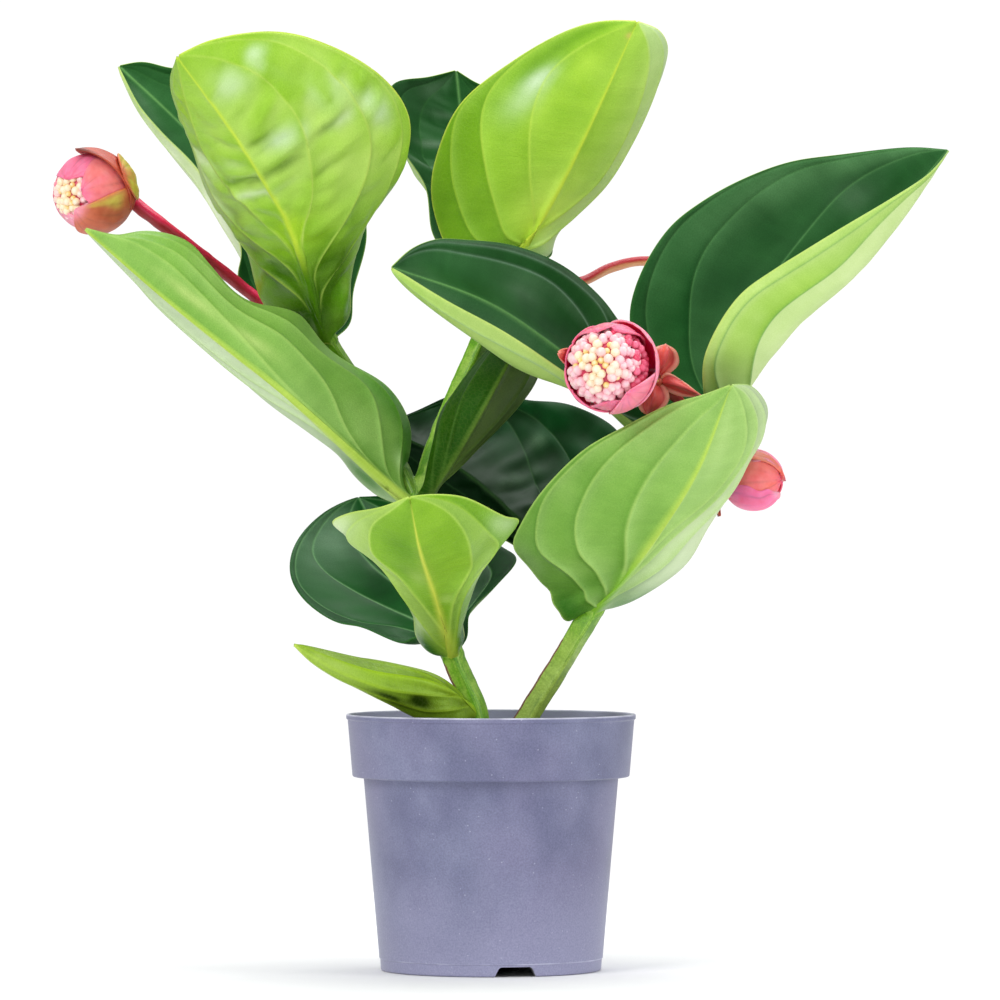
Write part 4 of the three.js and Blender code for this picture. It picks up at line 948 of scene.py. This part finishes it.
def build_stem(side, runs, knuckles, corky, green, seed, material):
    """Rods and swollen knuckles grown into one skin, with brown cork along the edges.

    knuckles: centre, radius and stretch. corky: lowest and highest z, the way it faces and its strength.
    """
    soup = Soup()
    centres, ways, lengths = [], [], []
    start = 0.0
    for k, (points, radii) in enumerate(runs):
        verts, faces, centre, _ = rod(points, radii, 32, 1.0, stem_profile(seed + k))
        soup.add(verts, faces)
        centres.append(centre)
        ways.append(unit(np.gradient(centre, axis=0)))
        steps = np.linalg.norm(np.diff(centre, axis=0), axis=1)
        lengths.append(start + np.concatenate([[0], np.cumsum(steps)]))
        start = lengths[-1][-1] + 20
    centres, ways, lengths = np.vstack(centres), np.vstack(ways), np.concatenate(lengths)
    for centre, radius, stretch in knuckles:
        soup.add(*ball(centre, radius, 3, stretch))
    obj = soup.build(f"stem_{side}_skin")
    remesh = obj.modifiers.new("skin", "REMESH")
    remesh.mode, remesh.voxel_size, remesh.use_smooth_shade = "VOXEL", STEM_VOXEL * MM, True
    relax = obj.modifiers.new("relax", "SMOOTH")
    relax.factor, relax.iterations = 0.5, 4
    apply_modifiers(obj)
    mesh = obj.data
    mesh.materials.append(material)
    count = len(mesh.vertices)
    co, normal = np.empty((2, count * 3))
    mesh.vertices.foreach_get("co", co)
    mesh.vertices.foreach_get("normal", normal)
    co, normal = co.reshape(-1, 3) / MM, normal.reshape(-1, 3)
    near = np.concatenate([((part[:, None] - centres[None]) ** 2).sum(-1).argmin(1)
                           for part in np.array_split(co, max(1, count // 4000))])
    way = ways[near]
    side_way = unit(np.cross(way, (0.0, 1.0, 0.0)))
    front_way = np.cross(side_way, way)
    around = np.arctan2((normal * front_way).sum(-1), (normal * side_way).sum(-1))
    along = lengths[near] + ((co - centres[near]) * way).sum(-1)
    z = co[:, 2]
    cork = np.zeros(count)
    for low, high, towards, strength in corky:
        facing = normal @ unit(np.array(towards, float))
        inside = smoothstep(z, low - 4, low + 4) * smoothstep(z, high + 4, high - 4)
        cork = np.maximum(cork, strength * inside * smoothstep(facing, 0.84, 0.97))
    up = smoothstep(z, *GREEN_HEIGHTS)
    tint = mix(np.broadcast_to(green, (count, 3)), rgb(100, 158, 14), up)
    # painted shade round the upper node and on the stem's left and right flanks
    tint = mix(tint, rgb(56, 102, 16), 0.8 * up * np.exp(-(((z - SHADED_NODE_HEIGHT) / SHADED_NODE_REACH) ** 2)))
    tint = mix(tint, rgb(72, 122, 8), 0.4 * smoothstep(np.cos(2 * around), 0.1, 1.0))
    place = np.stack([along, np.abs(around) * 4, np.full(count, seed)], 1)
    paint_points(mesh, dict(cork=cork, tint=tint, place=place))
    stand_for(obj, "stem_" + side)


# ---------- flower stalks ----------

HEADS = {
    "left": dict(centre=(-164.5, -14, 321.5), radius=15.5, opens=(-0.62, -0.77, -0.15)),
    "centre": dict(centre=(48.5, -60, 248.5), radius=18, opens=(-0.25, -0.95, 0.1)),
    "right": dict(centre=(109.5, 24, 203), radius=12, opens=(0.93, -0.3, 0)),
}


def on_head(head, radius, lean, turn):
    """A point round a head: lean from the stalk end and turn round the axis, both in degrees."""
    axis = unit(np.array(head["opens"], float))
    side = unit(np.cross(axis, (0, 0, 1)))
    radius, lean, turn = np.broadcast_arrays(radius, np.radians(lean), np.radians(turn))
    ring = np.cos(turn)[..., None] * side + np.sin(turn)[..., None] * np.cross(side, axis)
    back, out = radius * np.cos(lean), radius * np.sin(lean)
    return head["centre"] - axis * back[..., None] + ring * out[..., None]


# each stalk: its points up to its head, its radii, and the colours below and on top
STALKS = {
    "left": ([(-70, 9, 262), (-81, 14, 268), (-95.5, 21, 277), (-112, 14, 290), (-125, 4, 300),
              (-138, -4, 310), (-147, -4, 317)],
             [2.4, 2.4, 2.4, 2.5, 2.5, 2.6, 2.7, 2.8], rgb(166, 44, 50), rgb(232, 24, 84)),
    "centre": ([(86, 5, 222), (82, -8, 229), (76, -20, 237), (68.5, -29, 243), (58.5, -34, 246.5)],
               [2.4, 2.3, 2.3, 2.4, 2.3, 2.5], rgb(176, 50, 50), rgb(216, 14, 62)),
    "right": ([(12, 15, 294), (24, 32, 285.5), (38, 42, 286.5), (50.5, 48, 292.5), (64.5, 52, 295.5),
               (88.5, 54, 291.5), (100.5, 50, 274.5), (106.5, 40, 257.5), (103.5, 34, 243), (97.5, 32, 225),
               (93.5, 30, 211)],
              [2] * 11 + [2.2], rgb(244, 166, 128), rgb(192, 0, 34)),
}


def build_stalk(place, seed, material):
    points, radii, below, above = STALKS[place]
    rough = Noise(seed)

    def shape(angle, t):
        return 1 + 0.05 * np.cos(4 * angle) + 0.05 * rough(t * 30, np.cos(angle) * 2)

    foot = on_head(HEADS[place], HEADS[place]["radius"] + 0.4, 0, 0)
    verts, faces, _, ring = rod([*points, foot], radii, 28, 0.9, shape)
    blotch = rough(verts[:, 0] / 6 + 20, verts[:, 2] / 5)
    top = smoothstep(ring[:, 2] + 0.15 * blotch, -0.35, 0.35)
    tint = mix(np.broadcast_to(below, verts.shape), above, top)
    obj = mesh_object(f"stalk_{place}_skin", verts, faces, material, dict(tint=tint))
    stand_for(obj, "stalk_" + place)


# ---------- flower heads ----------

PINK = rgb(242, 116, 150)
PALE_PINK = rgb(250, 158, 178)
HOT_PINK = rgb(255, 112, 160)
ROSE = rgb(238, 100, 120)
SALMON = rgb(240, 128, 108)
APRICOT = rgb(246, 150, 130)
CORAL = rgb(236, 116, 116)
MAGENTA = rgb(236, 30, 92)
CRIMSON = rgb(176, 14, 40)
BROWN = rgb(104, 40, 26)
RUST = rgb(206, 104, 68)
LIME = rgb(206, 190, 74)

BRACT_START = 6  # degrees from the stalk
BRACT_STEPS = 31
BRACT_RELIEF = 0.4
BRACT_GROOVE = 0.16
BUD_RING_RADIUS = 1.7
GOLDEN_ANGLE = 137.508


def bract(turn, reach, spread, lift, *colors, **more):
    """A bract's turn, reach and spread in degrees, its lift, and its outer, inner, rim and tip colours."""
    return dict(turn=turn, reach=reach, spread=spread, lift=lift, colors=colors, **more)


BRACTS = {
    "left": [
        bract(0, 134, 66, 0, PINK, MAGENTA, ROSE, ROSE, wide=6),
        bract(290, 154, 66, 0.2, PALE_PINK, MAGENTA, PALE_PINK, PALE_PINK, wide=6),
        bract(92, 155, 68, 0.5, PINK, MAGENTA, PINK, PINK, wide=5),
        bract(168, 153, 56, 0.9, CORAL, MAGENTA, PINK, PINK, wide=6),
        bract(232, 158, 58, 1.8, RUST, CRIMSON, RUST, PALE_PINK, wide=4.5, stripe=LIME),
        bract(166, 116, 100, 2.2, rgb(180, 66, 42), CRIMSON, rgb(188, 82, 54), BROWN, twist=-69, flare=2.8,
              curl=5, wide=2.2, point=0.9, blush=0.1),
        bract(158, 92, 46, 3.3, LIME, CRIMSON, RUST, RUST, flare=1.0, wide=3),
    ],
    "centre": [
        bract(75, 131, 44, -0.4, PINK, MAGENTA, PALE_PINK, PINK),
        bract(110, 124, 34, -0.6, PINK, MAGENTA, PINK, PINK),
        bract(30, 110, 50, 0.2, ROSE, MAGENTA, PINK, PINK, rim_band=0.07),
        bract(325, 107, 60, 0.6, PINK, MAGENTA, PINK, PINK, rim_band=0.1),
        bract(262, 121, 46, -0.5, PINK, MAGENTA, PALE_PINK, PINK),
        bract(228, 126, 52, 0.7, PINK, MAGENTA, PALE_PINK, PINK),
        bract(160, 97, 88, 0.9, PINK, MAGENTA, PALE_PINK, PALE_PINK, flare=1.2, wide=5, rim_band=0.17),
        bract(15, 93, 22, 1, SALMON, CRIMSON, APRICOT, SALMON, flare=3.4, wide=1.6),
    ],
    "right": [
        bract(200, 174, 80, 0, SALMON, ROSE, PINK, PINK),
        bract(0, 176, 84, 0.3, rgb(246, 116, 104), ROSE, PINK, ROSE, jag=0.1, wide=6),
        bract(100, 173, 66, 0.7, HOT_PINK, ROSE, PALE_PINK, HOT_PINK, jag=0.12, wide=5),
        bract(285, 156, 66, 0.8, HOT_PINK, ROSE, HOT_PINK, PALE_PINK, jag=0.2, wide=7),
        bract(268, 46, 22, 0.6, RUST, BROWN, RUST, BROWN, flare=8.8, curl=1, wide=1.3),
        bract(60, 184, 20, 1.0, SALMON, ROSE, SALMON, ROSE, flare=0.5, jag=0.2, wide=4),
    ],
}


def add_bract(soup, head, seed, turn, reach, spread, lift, colors, flare=0, curl=4, wide=3.2, point=0.6,
              jag=0, twist=0, rim_band=0.12, stripe=None, blush=0.35):
    """A bract that wraps up round a head from its stalk end."""
    t, v = np.meshgrid(np.linspace(0.01, 0.995, BRACT_STEPS), np.linspace(-1, 1, BRACT_STEPS), indexing="ij")
    outline = np.minimum(1, 2.2 * t**0.6) * (1 - t**wide) ** point
    outline = outline * (1 - jag * np.abs(np.sin(11 * t)) * smoothstep(t, 0.5, 0.8))
    turn = turn + twist * t**1.5 + v * spread * outline
    lean = BRACT_START + (reach - BRACT_START) * t
    points = on_head(head, head["radius"] + lift + flare * t**curl, lean, turn)
    rough = Noise(seed)
    normals = grid_normals(points)
    points = points + normals * (BRACT_RELIEF * rough(t * 4, v * 3))[..., None]
    lines = np.abs(np.sin(v * 9 + 0.8 * rough(t * 3, v * 2)))
    grooves = BRACT_GROOVE * (1 - lines) ** 4
    half = BRACT_THICKNESS / 2
    brink = np.maximum(np.abs(v), t)
    rim = smoothstep(brink, 1 - rim_band, 1 - 0.4 * rim_band)
    tip = smoothstep(t, 0.86, 0.99)
    out, into, edge, end = colors
    blotch = rough(t * 5 + 9, v * 4)
    face = mix(np.broadcast_to(out, points.shape), edge, 0.35 * smoothstep(t, 0.3, 1) + 0.3 * blotch)
    face = mix(face, SALMON, blush * np.clip(rough(t * 3 + 30, v * 2), 0, 1))
    if stripe is not None:
        aside = smoothstep(0.3 * blotch - v, 0.62, 0.95)
        face = mix(face, stripe, 0.85 * aside * smoothstep(t, 0.5, 0.65) * smoothstep(t, 0.95, 0.85))
    face = mix(face, out * 0.5, 0.4 * (1 - lines) ** 5)
    face = mix(mix(face, edge, 0.8 * smoothstep(brink, 0.93, 1.0)), end, tip)
    back = mix(mix(np.broadcast_to(into, points.shape), edge, 0.9 * rim), end, 0.5 * tip)
    verts = both(points + normals * (half - grooves)[..., None], points - normals * half)
    soup.add(verts, blade_faces(*t.shape), both(face, back))


def build_bracts(place, material):
    head = HEADS[place]
    soup = Soup()
    soup.add(*ball(on_head(head, head["radius"], 0, 0), 3.6), CRIMSON)
    if place == "right":
        soup.add(*ball(head["centre"], head["radius"] - 0.4, 4), ROSE)
    for k, row in enumerate(BRACTS[place]):
        add_bract(soup, head, k + len(place) * 10, **row)
    stand_for(soup.build(f"bracts_{place}_petals", material), "bracts_" + place)


def build_buds(place, core_radius, shift, aside, radius, count, open_angle, seed, material, rosy_from=0.02,
               side_ring=()):
    """Round buds set close together over the open side of a small core, and red ones deep beside it."""
    head = HEADS[place]
    random = np.random.default_rng(seed)
    core = head["centre"] + unit(np.array(head["opens"], float)) * shift + aside
    moved = dict(head, centre=core)
    soup = Soup()
    soup.add(*ball(core, core_radius, 4), rgb(196, 52, 84))
    foot = on_head(head, head["radius"] - 4.2, 0, 0)
    soup.add(*rod([foot, (foot + core) / 2, core], [3, 3, 3], 16)[:2], CRIMSON)
    for i in range(count):
        share = (i + 0.5) / count
        shape, faces = ball((0, 0, 0), 1, 2 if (share > 0.6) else 3)
        lean = 180 - math.degrees(math.acos(1 - share * (1 - math.cos(math.radians(open_angle)))))
        lean += random.uniform(-2.5, 2.5)
        turn = i * GOLDEN_ANGLE + random.uniform(-9, 9)
        young = share < 0.3 and random.random() < 0.3
        size = radius * (0.7 if young else 0.9 + 0.2 * random.random())
        place_at = on_head(moved, core_radius * 0.98 + size * 0.35, lean, turn)
        reach = shape @ unit(place_at - core)
        tip = smoothstep(reach, 0.75, 1.0)
        bead = shape * size * (1 + 0.10 * tip[:, None] - 0.05 * smoothstep(reach, 0.93, 1)[:, None])
        rosy = smoothstep(share + 0.2 * random.uniform(-1, 1), rosy_from, rosy_from + 0.32)
        tint = mix(rgb(250, 228, 192), rgb(250, 190, 200), rosy)
        tint = rgb(242, 208, 128) if young else mix(tint, rgb(230, 74, 116), smoothstep(share, 0.8, 0.97))
        # painted shade on the side of each bud facing the core, and a painted highlight at its outer tip
        tint = mix(np.broadcast_to(tint, shape.shape), rgb(238, 84, 128), 0.7 * smoothstep(reach, 0.1, -0.5))
        soup.add(bead + place_at, faces, mix(tint, rgb(254, 240, 226), 0.4 * tip))
    shape, faces = ball((0, 0, 0), BUD_RING_RADIUS, 2)
    for turn in side_ring:
        tint = mix(rgb(214, 40, 84), rgb(240, 120, 150), random.random())
        for drop, low, high in ((2.7, 100, 122), (3.4, 84, 100)):
            place_at = on_head(head, head["radius"] - drop, random.uniform(low, high), turn)
            soup.add(shape + place_at, faces, tint)
    stand_for(soup.build(f"buds_{place}_beads", material), "buds_" + place)


WHORL = [
    dict(rib=[(67.5, -31, 244), (70.5, -38, 249.5), (72.5, -38, 255.5), (71.5, -32, 258.5)],
         left=[(64.5, -33, 246.5), (63.8, -35, 251.5), (66.5, -36, 256.5)],
         right=[(72.5, -31, 246), (77, -32, 250.5), (76, -32, 255.5)], sag=2.4),
    dict(rib=[(67.5, -31, 243), (66.5, -38, 239), (65.5, -38, 233), (64.5, -32, 229)],
         left=[(71.5, -33, 241), (73, -34, 236.5), (70, -34, 231.5)],
         right=[(63, -32, 241), (60, -32, 236.5), (61, -33, 231.5)], sag=2.4),
    dict(rib=[(68.5, -31, 243), (74.5, -36, 242), (80.5, -37, 240), (86.5, -35, 237)],
         left=[(71.5, -35, 246.5), (78.5, -33, 243)], right=[(72.5, -31, 239), (78.5, -32, 237)], sag=2.0),
]
STAMENS = ((66.6, 244.8), (68.1, 243.4), (66.4, 242.6), (67.4, 246.2), (68.8, 245.2))


def build_whorl(material):
    """Three small bracts round the centre stalk, with stamens between them."""
    soup = Soup()
    soup.add(*ball((68, -30.5, 243.5), 3.4), rgb(196, 84, 60))
    for k, (x, z) in enumerate(STAMENS):
        soup.add(*ball((x, -33.6, z), 0.75, 2), (rgb(120, 62, 30), rgb(226, 168, 96))[k % 2])
    u, v = np.meshgrid(np.linspace(0.01, 0.99, 25), np.linspace(-1, 1, 17), indexing="ij")
    s = np.abs(v)[..., None]
    for row in WHORL:
        middle = curve(row["rib"])(u[:, 0])
        tangent = unit(np.gradient(middle, axis=0))
        start, end = row["rib"][0], row["rib"][-1]
        left, right = [curve([start, *row[side], end])(u[:, 0]) for side in ("left", "right")]
        up = unit(np.cross(tangent, right - left + 1e-6))
        up[:2], up[-2:] = up[2], up[-3]
        across = np.where(v[..., None] < 0, left[:, None], right[:, None]) - middle[:, None]
        crown = 4 * row["sag"] * np.sin(math.pi * u)[..., None] * s * (1 - s)
        points = middle[:, None] + across * s + up[:, None] * crown
        normals = grid_normals(points)
        rim = np.maximum(smoothstep(np.abs(v), 0.6, 0.9), smoothstep(u, 0.85, 1))
        tint = mix(np.broadcast_to(rgb(226, 88, 82), points.shape), rgb(246, 164, 138), rim)
        tint = mix(tint, rgb(168, 30, 40), 0.4 * (1 - np.abs(np.sin(v * 5))) ** 4)
        half = normals * BRACT_THICKNESS / 2
        soup.add(both(points + half, points - half), blade_faces(*u.shape), both(tint, tint))
    stand_for(soup.build("whorl_centre_petals", material), "whorl_centre")


# ---------- pot and soil ----------


def lathe(outline, sides):
    """A closed body turned from (radius, height) points. Points on the axis are shared."""
    angle = np.linspace(0, 2 * math.pi, sides, endpoint=False)
    verts, rings = [], []
    for radius, height in outline:
        if radius < 1e-6:
            rings.append([len(verts)] * sides)
            verts.append((0, 0, height))
        else:
            rings.append(list(range(len(verts), len(verts) + sides)))
            verts += [(radius * math.cos(a), radius * math.sin(a), height) for a in angle]
    faces = []
    for low, high in zip(rings, rings[1:]):
        for j in range(sides):
            k = (j + 1) % sides
            face = list(dict.fromkeys((low[j], low[k], high[k], high[j])))
            if len(face) > 2:
                faces.append(face)
    return np.array(verts, float), faces


def fillet(a, corner, b, radius, steps=4):
    """Points that round a corner of an outline."""
    a, corner, b = (np.array(p, float) for p in (a, corner, b))
    start, end = corner + unit(a - corner) * radius, corner + unit(b - corner) * radius
    t = np.linspace(0, 1, steps + 1)[:, None]
    return [tuple(p) for p in (1 - t) ** 2 * start + 2 * t * (1 - t) * corner + t**2 * end]


def notch_cutter(angle):
    """A block with a rounded top that cuts one drain notch through the pot's foot."""
    foot, top = NOTCH_FOOT_WIDTH / 2, NOTCH_TOP_WIDTH / 2
    side = [(-foot, -2), (foot, -2), (foot, 0)]
    side += fillet((foot, 0), (top, NOTCH_HEIGHT), (-top, NOTCH_HEIGHT), 1.4, 6)
    side += fillet((top, NOTCH_HEIGHT), (-top, NOTCH_HEIGHT), (-foot, 0), 1.4, 6)
    side.append((-foot, 0))
    count = len(side)
    c, s = math.cos(math.radians(angle)), math.sin(math.radians(angle))
    reach = (BODY_FOOT_RADIUS - 9, BODY_FOOT_RADIUS + 5)
    points = [(x * c - y * s, x * s + y * c, z) for x in reach for y, z in side]
    faces = [[j, (j + 1) % count, (j + 1) % count + count, j + count] for j in range(count)]
    cutter = mesh_object("cutter", points, faces + [list(range(count))[::-1], list(range(count, 2 * count))])
    bm = bmesh.new()
    bm.from_mesh(cutter.data)
    bmesh.ops.recalc_face_normals(bm, faces=bm.faces)
    bm.to_mesh(cutter.data)
    bm.free()
    return cutter


def build_pot(material):
    """The shell, turned from an outline whose corners each have a rounding, with its notches cut."""
    foot_inner = STEP_RADIUS - FOOT_WALL
    corners = [
        ((0, 0), 0), ((12, 0), 0.6), ((13.5, FLOOR_UNDERSIDE), 0.6),
        ((foot_inner - 1.5, FLOOR_UNDERSIDE), 0.6), ((foot_inner, 0), 0.5), ((STEP_RADIUS, 0), 0.9),
        ((STEP_RADIUS + 0.2, FOOT_STEP_HEIGHT - 0.3), 0.15),
        ((BODY_FOOT_RADIUS, FOOT_STEP_HEIGHT), 0.2), ((BODY_TOP_RADIUS, BAND_FOOT - 0.01), 0.5),
        ((BAND_FOOT_RADIUS, BAND_FOOT), 0.9), ((RIM_RADIUS - LIP_STEP, POT_HEIGHT - LIP_FOOT), 0.3),
        ((RIM_RADIUS, POT_HEIGHT - LIP_HEIGHT), 0.3), ((RIM_RADIUS, POT_HEIGHT), 0.6),
        ((RIM_RADIUS - POT_WALL - 0.2, POT_HEIGHT), 0.5), ((BAND_FOOT_RADIUS - POT_WALL, BAND_FOOT + 3), 0.8),
        ((BODY_TOP_RADIUS - POT_WALL, BAND_FOOT), 0.6), ((BODY_FOOT_RADIUS - POT_WALL, FLOOR_TOP), 0.8),
        ((0, FLOOR_TOP), 0),
    ]
    outline = []
    for k, (corner, radius) in enumerate(corners):
        outline += fillet(corners[k - 1][0], corner, corners[k + 1][0], radius, 3) if radius else [corner]
    pot = mesh_object("pot_shell", *lathe(outline, 192), material)
    cutters = [notch_cutter(angle) for angle in NOTCH_ANGLES]
    for cutter in cutters:
        cut = pot.modifiers.new("cut", "BOOLEAN")
        cut.operation, cut.solver, cut.object = "DIFFERENCE", "EXACT", cutter
    apply_modifiers(pot)
    for cutter in cutters:
        bpy.data.objects.remove(cutter)
    pot.data.set_sharp_from_angle(angle=math.radians(38))
    stand_for(pot, "pot")


CRUMBS = 520


def build_soil(material):
    """A closed bed of peat with an uneven top, and loose crumbs pressed into it."""
    rough, fine = Noise(31), Noise(32)
    random = np.random.default_rng(33)
    edge = SOIL_TOP - SOIL_CROWN
    slope = (RIM_RADIUS - BAND_FOOT_RADIUS - LIP_STEP) / (BAND_HEIGHT - 6)
    edge_radius = BAND_FOOT_RADIUS - POT_WALL - 0.5 + slope * (edge - BAND_FOOT - 3)
    outline = [(0, FLOOR_TOP + 0.3), (BODY_FOOT_RADIUS - POT_WALL - 0.4, FLOOR_TOP + 0.3),
               (BODY_TOP_RADIUS - POT_WALL - 0.4, BAND_FOOT),
               (BAND_FOOT_RADIUS - POT_WALL - 0.5, BAND_FOOT + 3.2)]
    for share in np.linspace(1, 0, 41):
        outline.append((edge_radius * share, edge + SOIL_CROWN * (1 - share**2)))
    verts, faces = lathe(outline, 150)
    x, y, z = verts.T
    bumps = 0.9 * rough(x / 7, y / 7) + 0.5 * fine(x / 2.4, y / 2.4)
    verts[:, 2] += smoothstep(z, edge - 1, edge) * bumps
    soup = Soup()
    soup.add(verts, faces, rgb(50, 36, 26))
    shape, crumb_faces = ball((0, 0, 0), 1, 1)
    for _ in range(CRUMBS):
        r, a = (edge_radius - 2.5) * math.sqrt(random.random()), random.uniform(0, 2 * math.pi)
        x, y = r * math.cos(a), r * math.sin(a)
        size = random.uniform(0.7, 2.3) * (0.75 + 0.5 * random.random())
        stretch = random.uniform(0.5, 1.35, 3)
        lumpy = shape * (1 + random.uniform(-0.22, 0.22, (len(shape), 1))) * stretch * size
        turn = random.uniform(0, math.pi)
        c, s = math.cos(turn), math.sin(turn)
        lumpy = lumpy @ np.array([[c, -s, 0], [s, c, 0], [0, 0, 1]])
        z = edge + SOIL_CROWN * (1 - (r / edge_radius) ** 2) + 0.9 * float(rough(x / 7, y / 7)) + 0.1 * size
        pale = random.random() < 0.05
        tint = rgb(206, 200, 188) if pale else rgb(74, 52, 36) * random.uniform(0.5, 1.4)
        soup.add(lumpy + (x, y, z), crumb_faces, tint)
    stand_for(soup.build("soil_bed", material), "soil")


# ---------- stage ----------


def build_stage():
    s = Shader("floor_paper")
    color = s.blend(s.noise(s.position(), 30), (0.90, 0.90, 0.90), (0.94, 0.94, 0.94))
    paper = s.done(color, 0.9, Specular_IOR_Level=0.1)
    around = np.linspace(0, 2 * math.pi, 96, endpoint=False)
    rim = np.stack([FLOOR_RADIUS * np.cos(around), FLOOR_RADIUS * np.sin(around), 0 * around - FLOOR_GAP], 1)
    floor = mesh_object("floor", rim, [range(96)], paper)


def area_light(name, at, towards, width, height, power, gleam, color):
    data = bpy.data.lights.new(name, "AREA")
    data.shape, data.size, data.size_y, data.energy, data.color = "RECTANGLE", width, height, power, color
    data.specular_factor = gleam
    obj = bpy.data.objects.new(name, data)
    obj.location = at
    obj.rotation_euler = (Vector(towards) - Vector(at)).to_track_quat("-Z", "Y").to_euler()
    bpy.context.scene.collection.objects.link(obj)


def build_lights():
    """A white backdrop for the camera, a dimmer sky for the light, and four large soft lamps."""
    world = bpy.data.worlds.new("studio")
    bpy.context.scene.world = world
    world.use_nodes = True
    nodes, links = world.node_tree.nodes, world.node_tree.links
    nodes.clear()
    out, path, switch, shown, fill = [nodes.new("ShaderNode" + kind) for kind in (
        "OutputWorld", "LightPath", "MixShader", "Background", "Background")]
    for sky, color, strength in ((shown, (1, 1, 1, 1), 1.05), (fill, (0.95, 0.97, 1, 1), 0.5)):
        sky.inputs["Color"].default_value, sky.inputs["Strength"].default_value = color, strength
    links.new(path.outputs["Is Camera Ray"], switch.inputs["Fac"])
    links.new(fill.outputs[0], switch.inputs[1])
    links.new(shown.outputs[0], switch.inputs[2])
    links.new(switch.outputs[0], out.inputs["Surface"])
    middle = (0, 0, 0.22)
    area_light("key", (-1.0, -1.3, 1.2), middle, 0.8, 0.8, 17, 0.7, (1, 0.99, 0.97))
    area_light("front", (-0.35, -1.8, 0.2), middle, 1.1, 0.7, 7, 0.4, (0.95, 0.98, 1))
    area_light("side", (1.3, -0.6, 0.6), middle, 0.6, 1.0, 8, 0.5, (0.97, 0.98, 1))
    area_light("top", (0.1, 0.35, 1.4), (0, 0, 0), 1.2, 1.2, 16, 0.25, (1, 1, 1))


# the photograph's camera, in metres and millimetres of lens: level and far away, on a long lens
CAMERA_AT = (0.00373, -2.8, 0.1946)
CAMERA_LENS, SENSOR_WIDTH = 243.2, 36


def build_camera():
    data = bpy.data.cameras.new("camera")
    data.lens, data.sensor_width = CAMERA_LENS, SENSOR_WIDTH
    data.clip_start, data.clip_end = 0.05, 50
    camera = bpy.data.objects.new("camera", data)
    camera.location = CAMERA_AT
    camera.rotation_euler = (math.pi / 2, 0, 0)
    bpy.context.scene.collection.objects.link(camera)
    bpy.context.scene.camera = camera


# ---------- assembly ----------

build_camera()
build_stage()
build_lights()
bpy.context.scene.view_settings.view_transform = "Standard"

LEAF_SKINS = {
    "leaf_young": leaf_material("leaf_young_skin", gloss=0.34, under_gloss=0.34, relief=0.35, shine=0.34,
                                gleam=(0.7, 1, 0.35)),
    "leaf_pale": leaf_material("leaf_pale_skin", gloss=0.36, under_gloss=0.44, relief=0.3, shine=0.3,
                               gleam=(0.8, 1, 0.6)),
    "leaf_dark": leaf_material("leaf_dark_skin", gloss=0.42, under_gloss=0.48, relief=0.07, shine=0.12,
                               gleam=(0.4, 1, 0.45)),
}
for row in LEAVES:
    build_leaf(row, LEAF_SKINS[row["slot"]])

STEM_SKIN = stem_material()
build_stem("left", [STEM_LEFT, BRANCH_TOP, BRANCH_LEFT],
           [(NODE_LOW_LEFT, 5.2, (1, 1, 0.8)), (NODE_LEFT, 5.6, (1, 1, 0.85)),
            (NODE_TOP_LEFT, 4.7, (1, 1, 0.8)), (NODE_TOP, 4.7, (1, 1, 0.8))],
           [(88, 126, (0.88, 0.28, 0.36), 1.1), (113, 127, (-0.82, -0.5, -0.3), 1.0),
            (92, 190, (0, 1, 0), 0.9)],
           rgb(98, 158, 10), 61, STEM_SKIN)
build_stem("right", [STEM_RIGHT],
           [(NODE_RIGHT, 5.2, (1, 1, 0.8)), (NODE_TOP_RIGHT, 4.9, (1, 1, 0.85))],
           [(86, 136, (-0.74, -0.4, 0.54), 1.6), (88, 150, (0.7, 0.7, -0.2), 0.9)],
           rgb(166, 196, 84), 71, STEM_SKIN)

STALK_SKIN = painted_material("stalk_skin", gloss=0.4, mottling=0.5, grain_scale=900, relief=0.2)
for k, place in enumerate(STALKS):
    build_stalk(place, 80 + k, STALK_SKIN)

PETAL_SKIN = painted_material("petal_skin", gloss=0.42, mottling=0.6, grain_scale=1200, relief=0.25,
                              Subsurface_Weight=0.35)
BUD_SKIN = painted_material("bud_skin", gloss=0.34, mottling=0.35, grain_scale=1500, relief=0.15,
                            Coat_Weight=0.15)
for place in HEADS:
    build_bracts(place, PETAL_SKIN)
build_buds("left", core_radius=12.4, shift=1.4, aside=(-0.8, 0, 0), radius=1.75, count=56, open_angle=50,
           seed=11, material=BUD_SKIN, rosy_from=0.35)
build_buds("centre", core_radius=13.2, shift=3.0, aside=(-1.4, 0, -0.4), radius=2.0, count=138, open_angle=98,
           seed=23, material=BUD_SKIN, side_ring=range(96, 228, 8))
build_whorl(PETAL_SKIN)

build_pot(pot_material())
build_soil(soil_material())
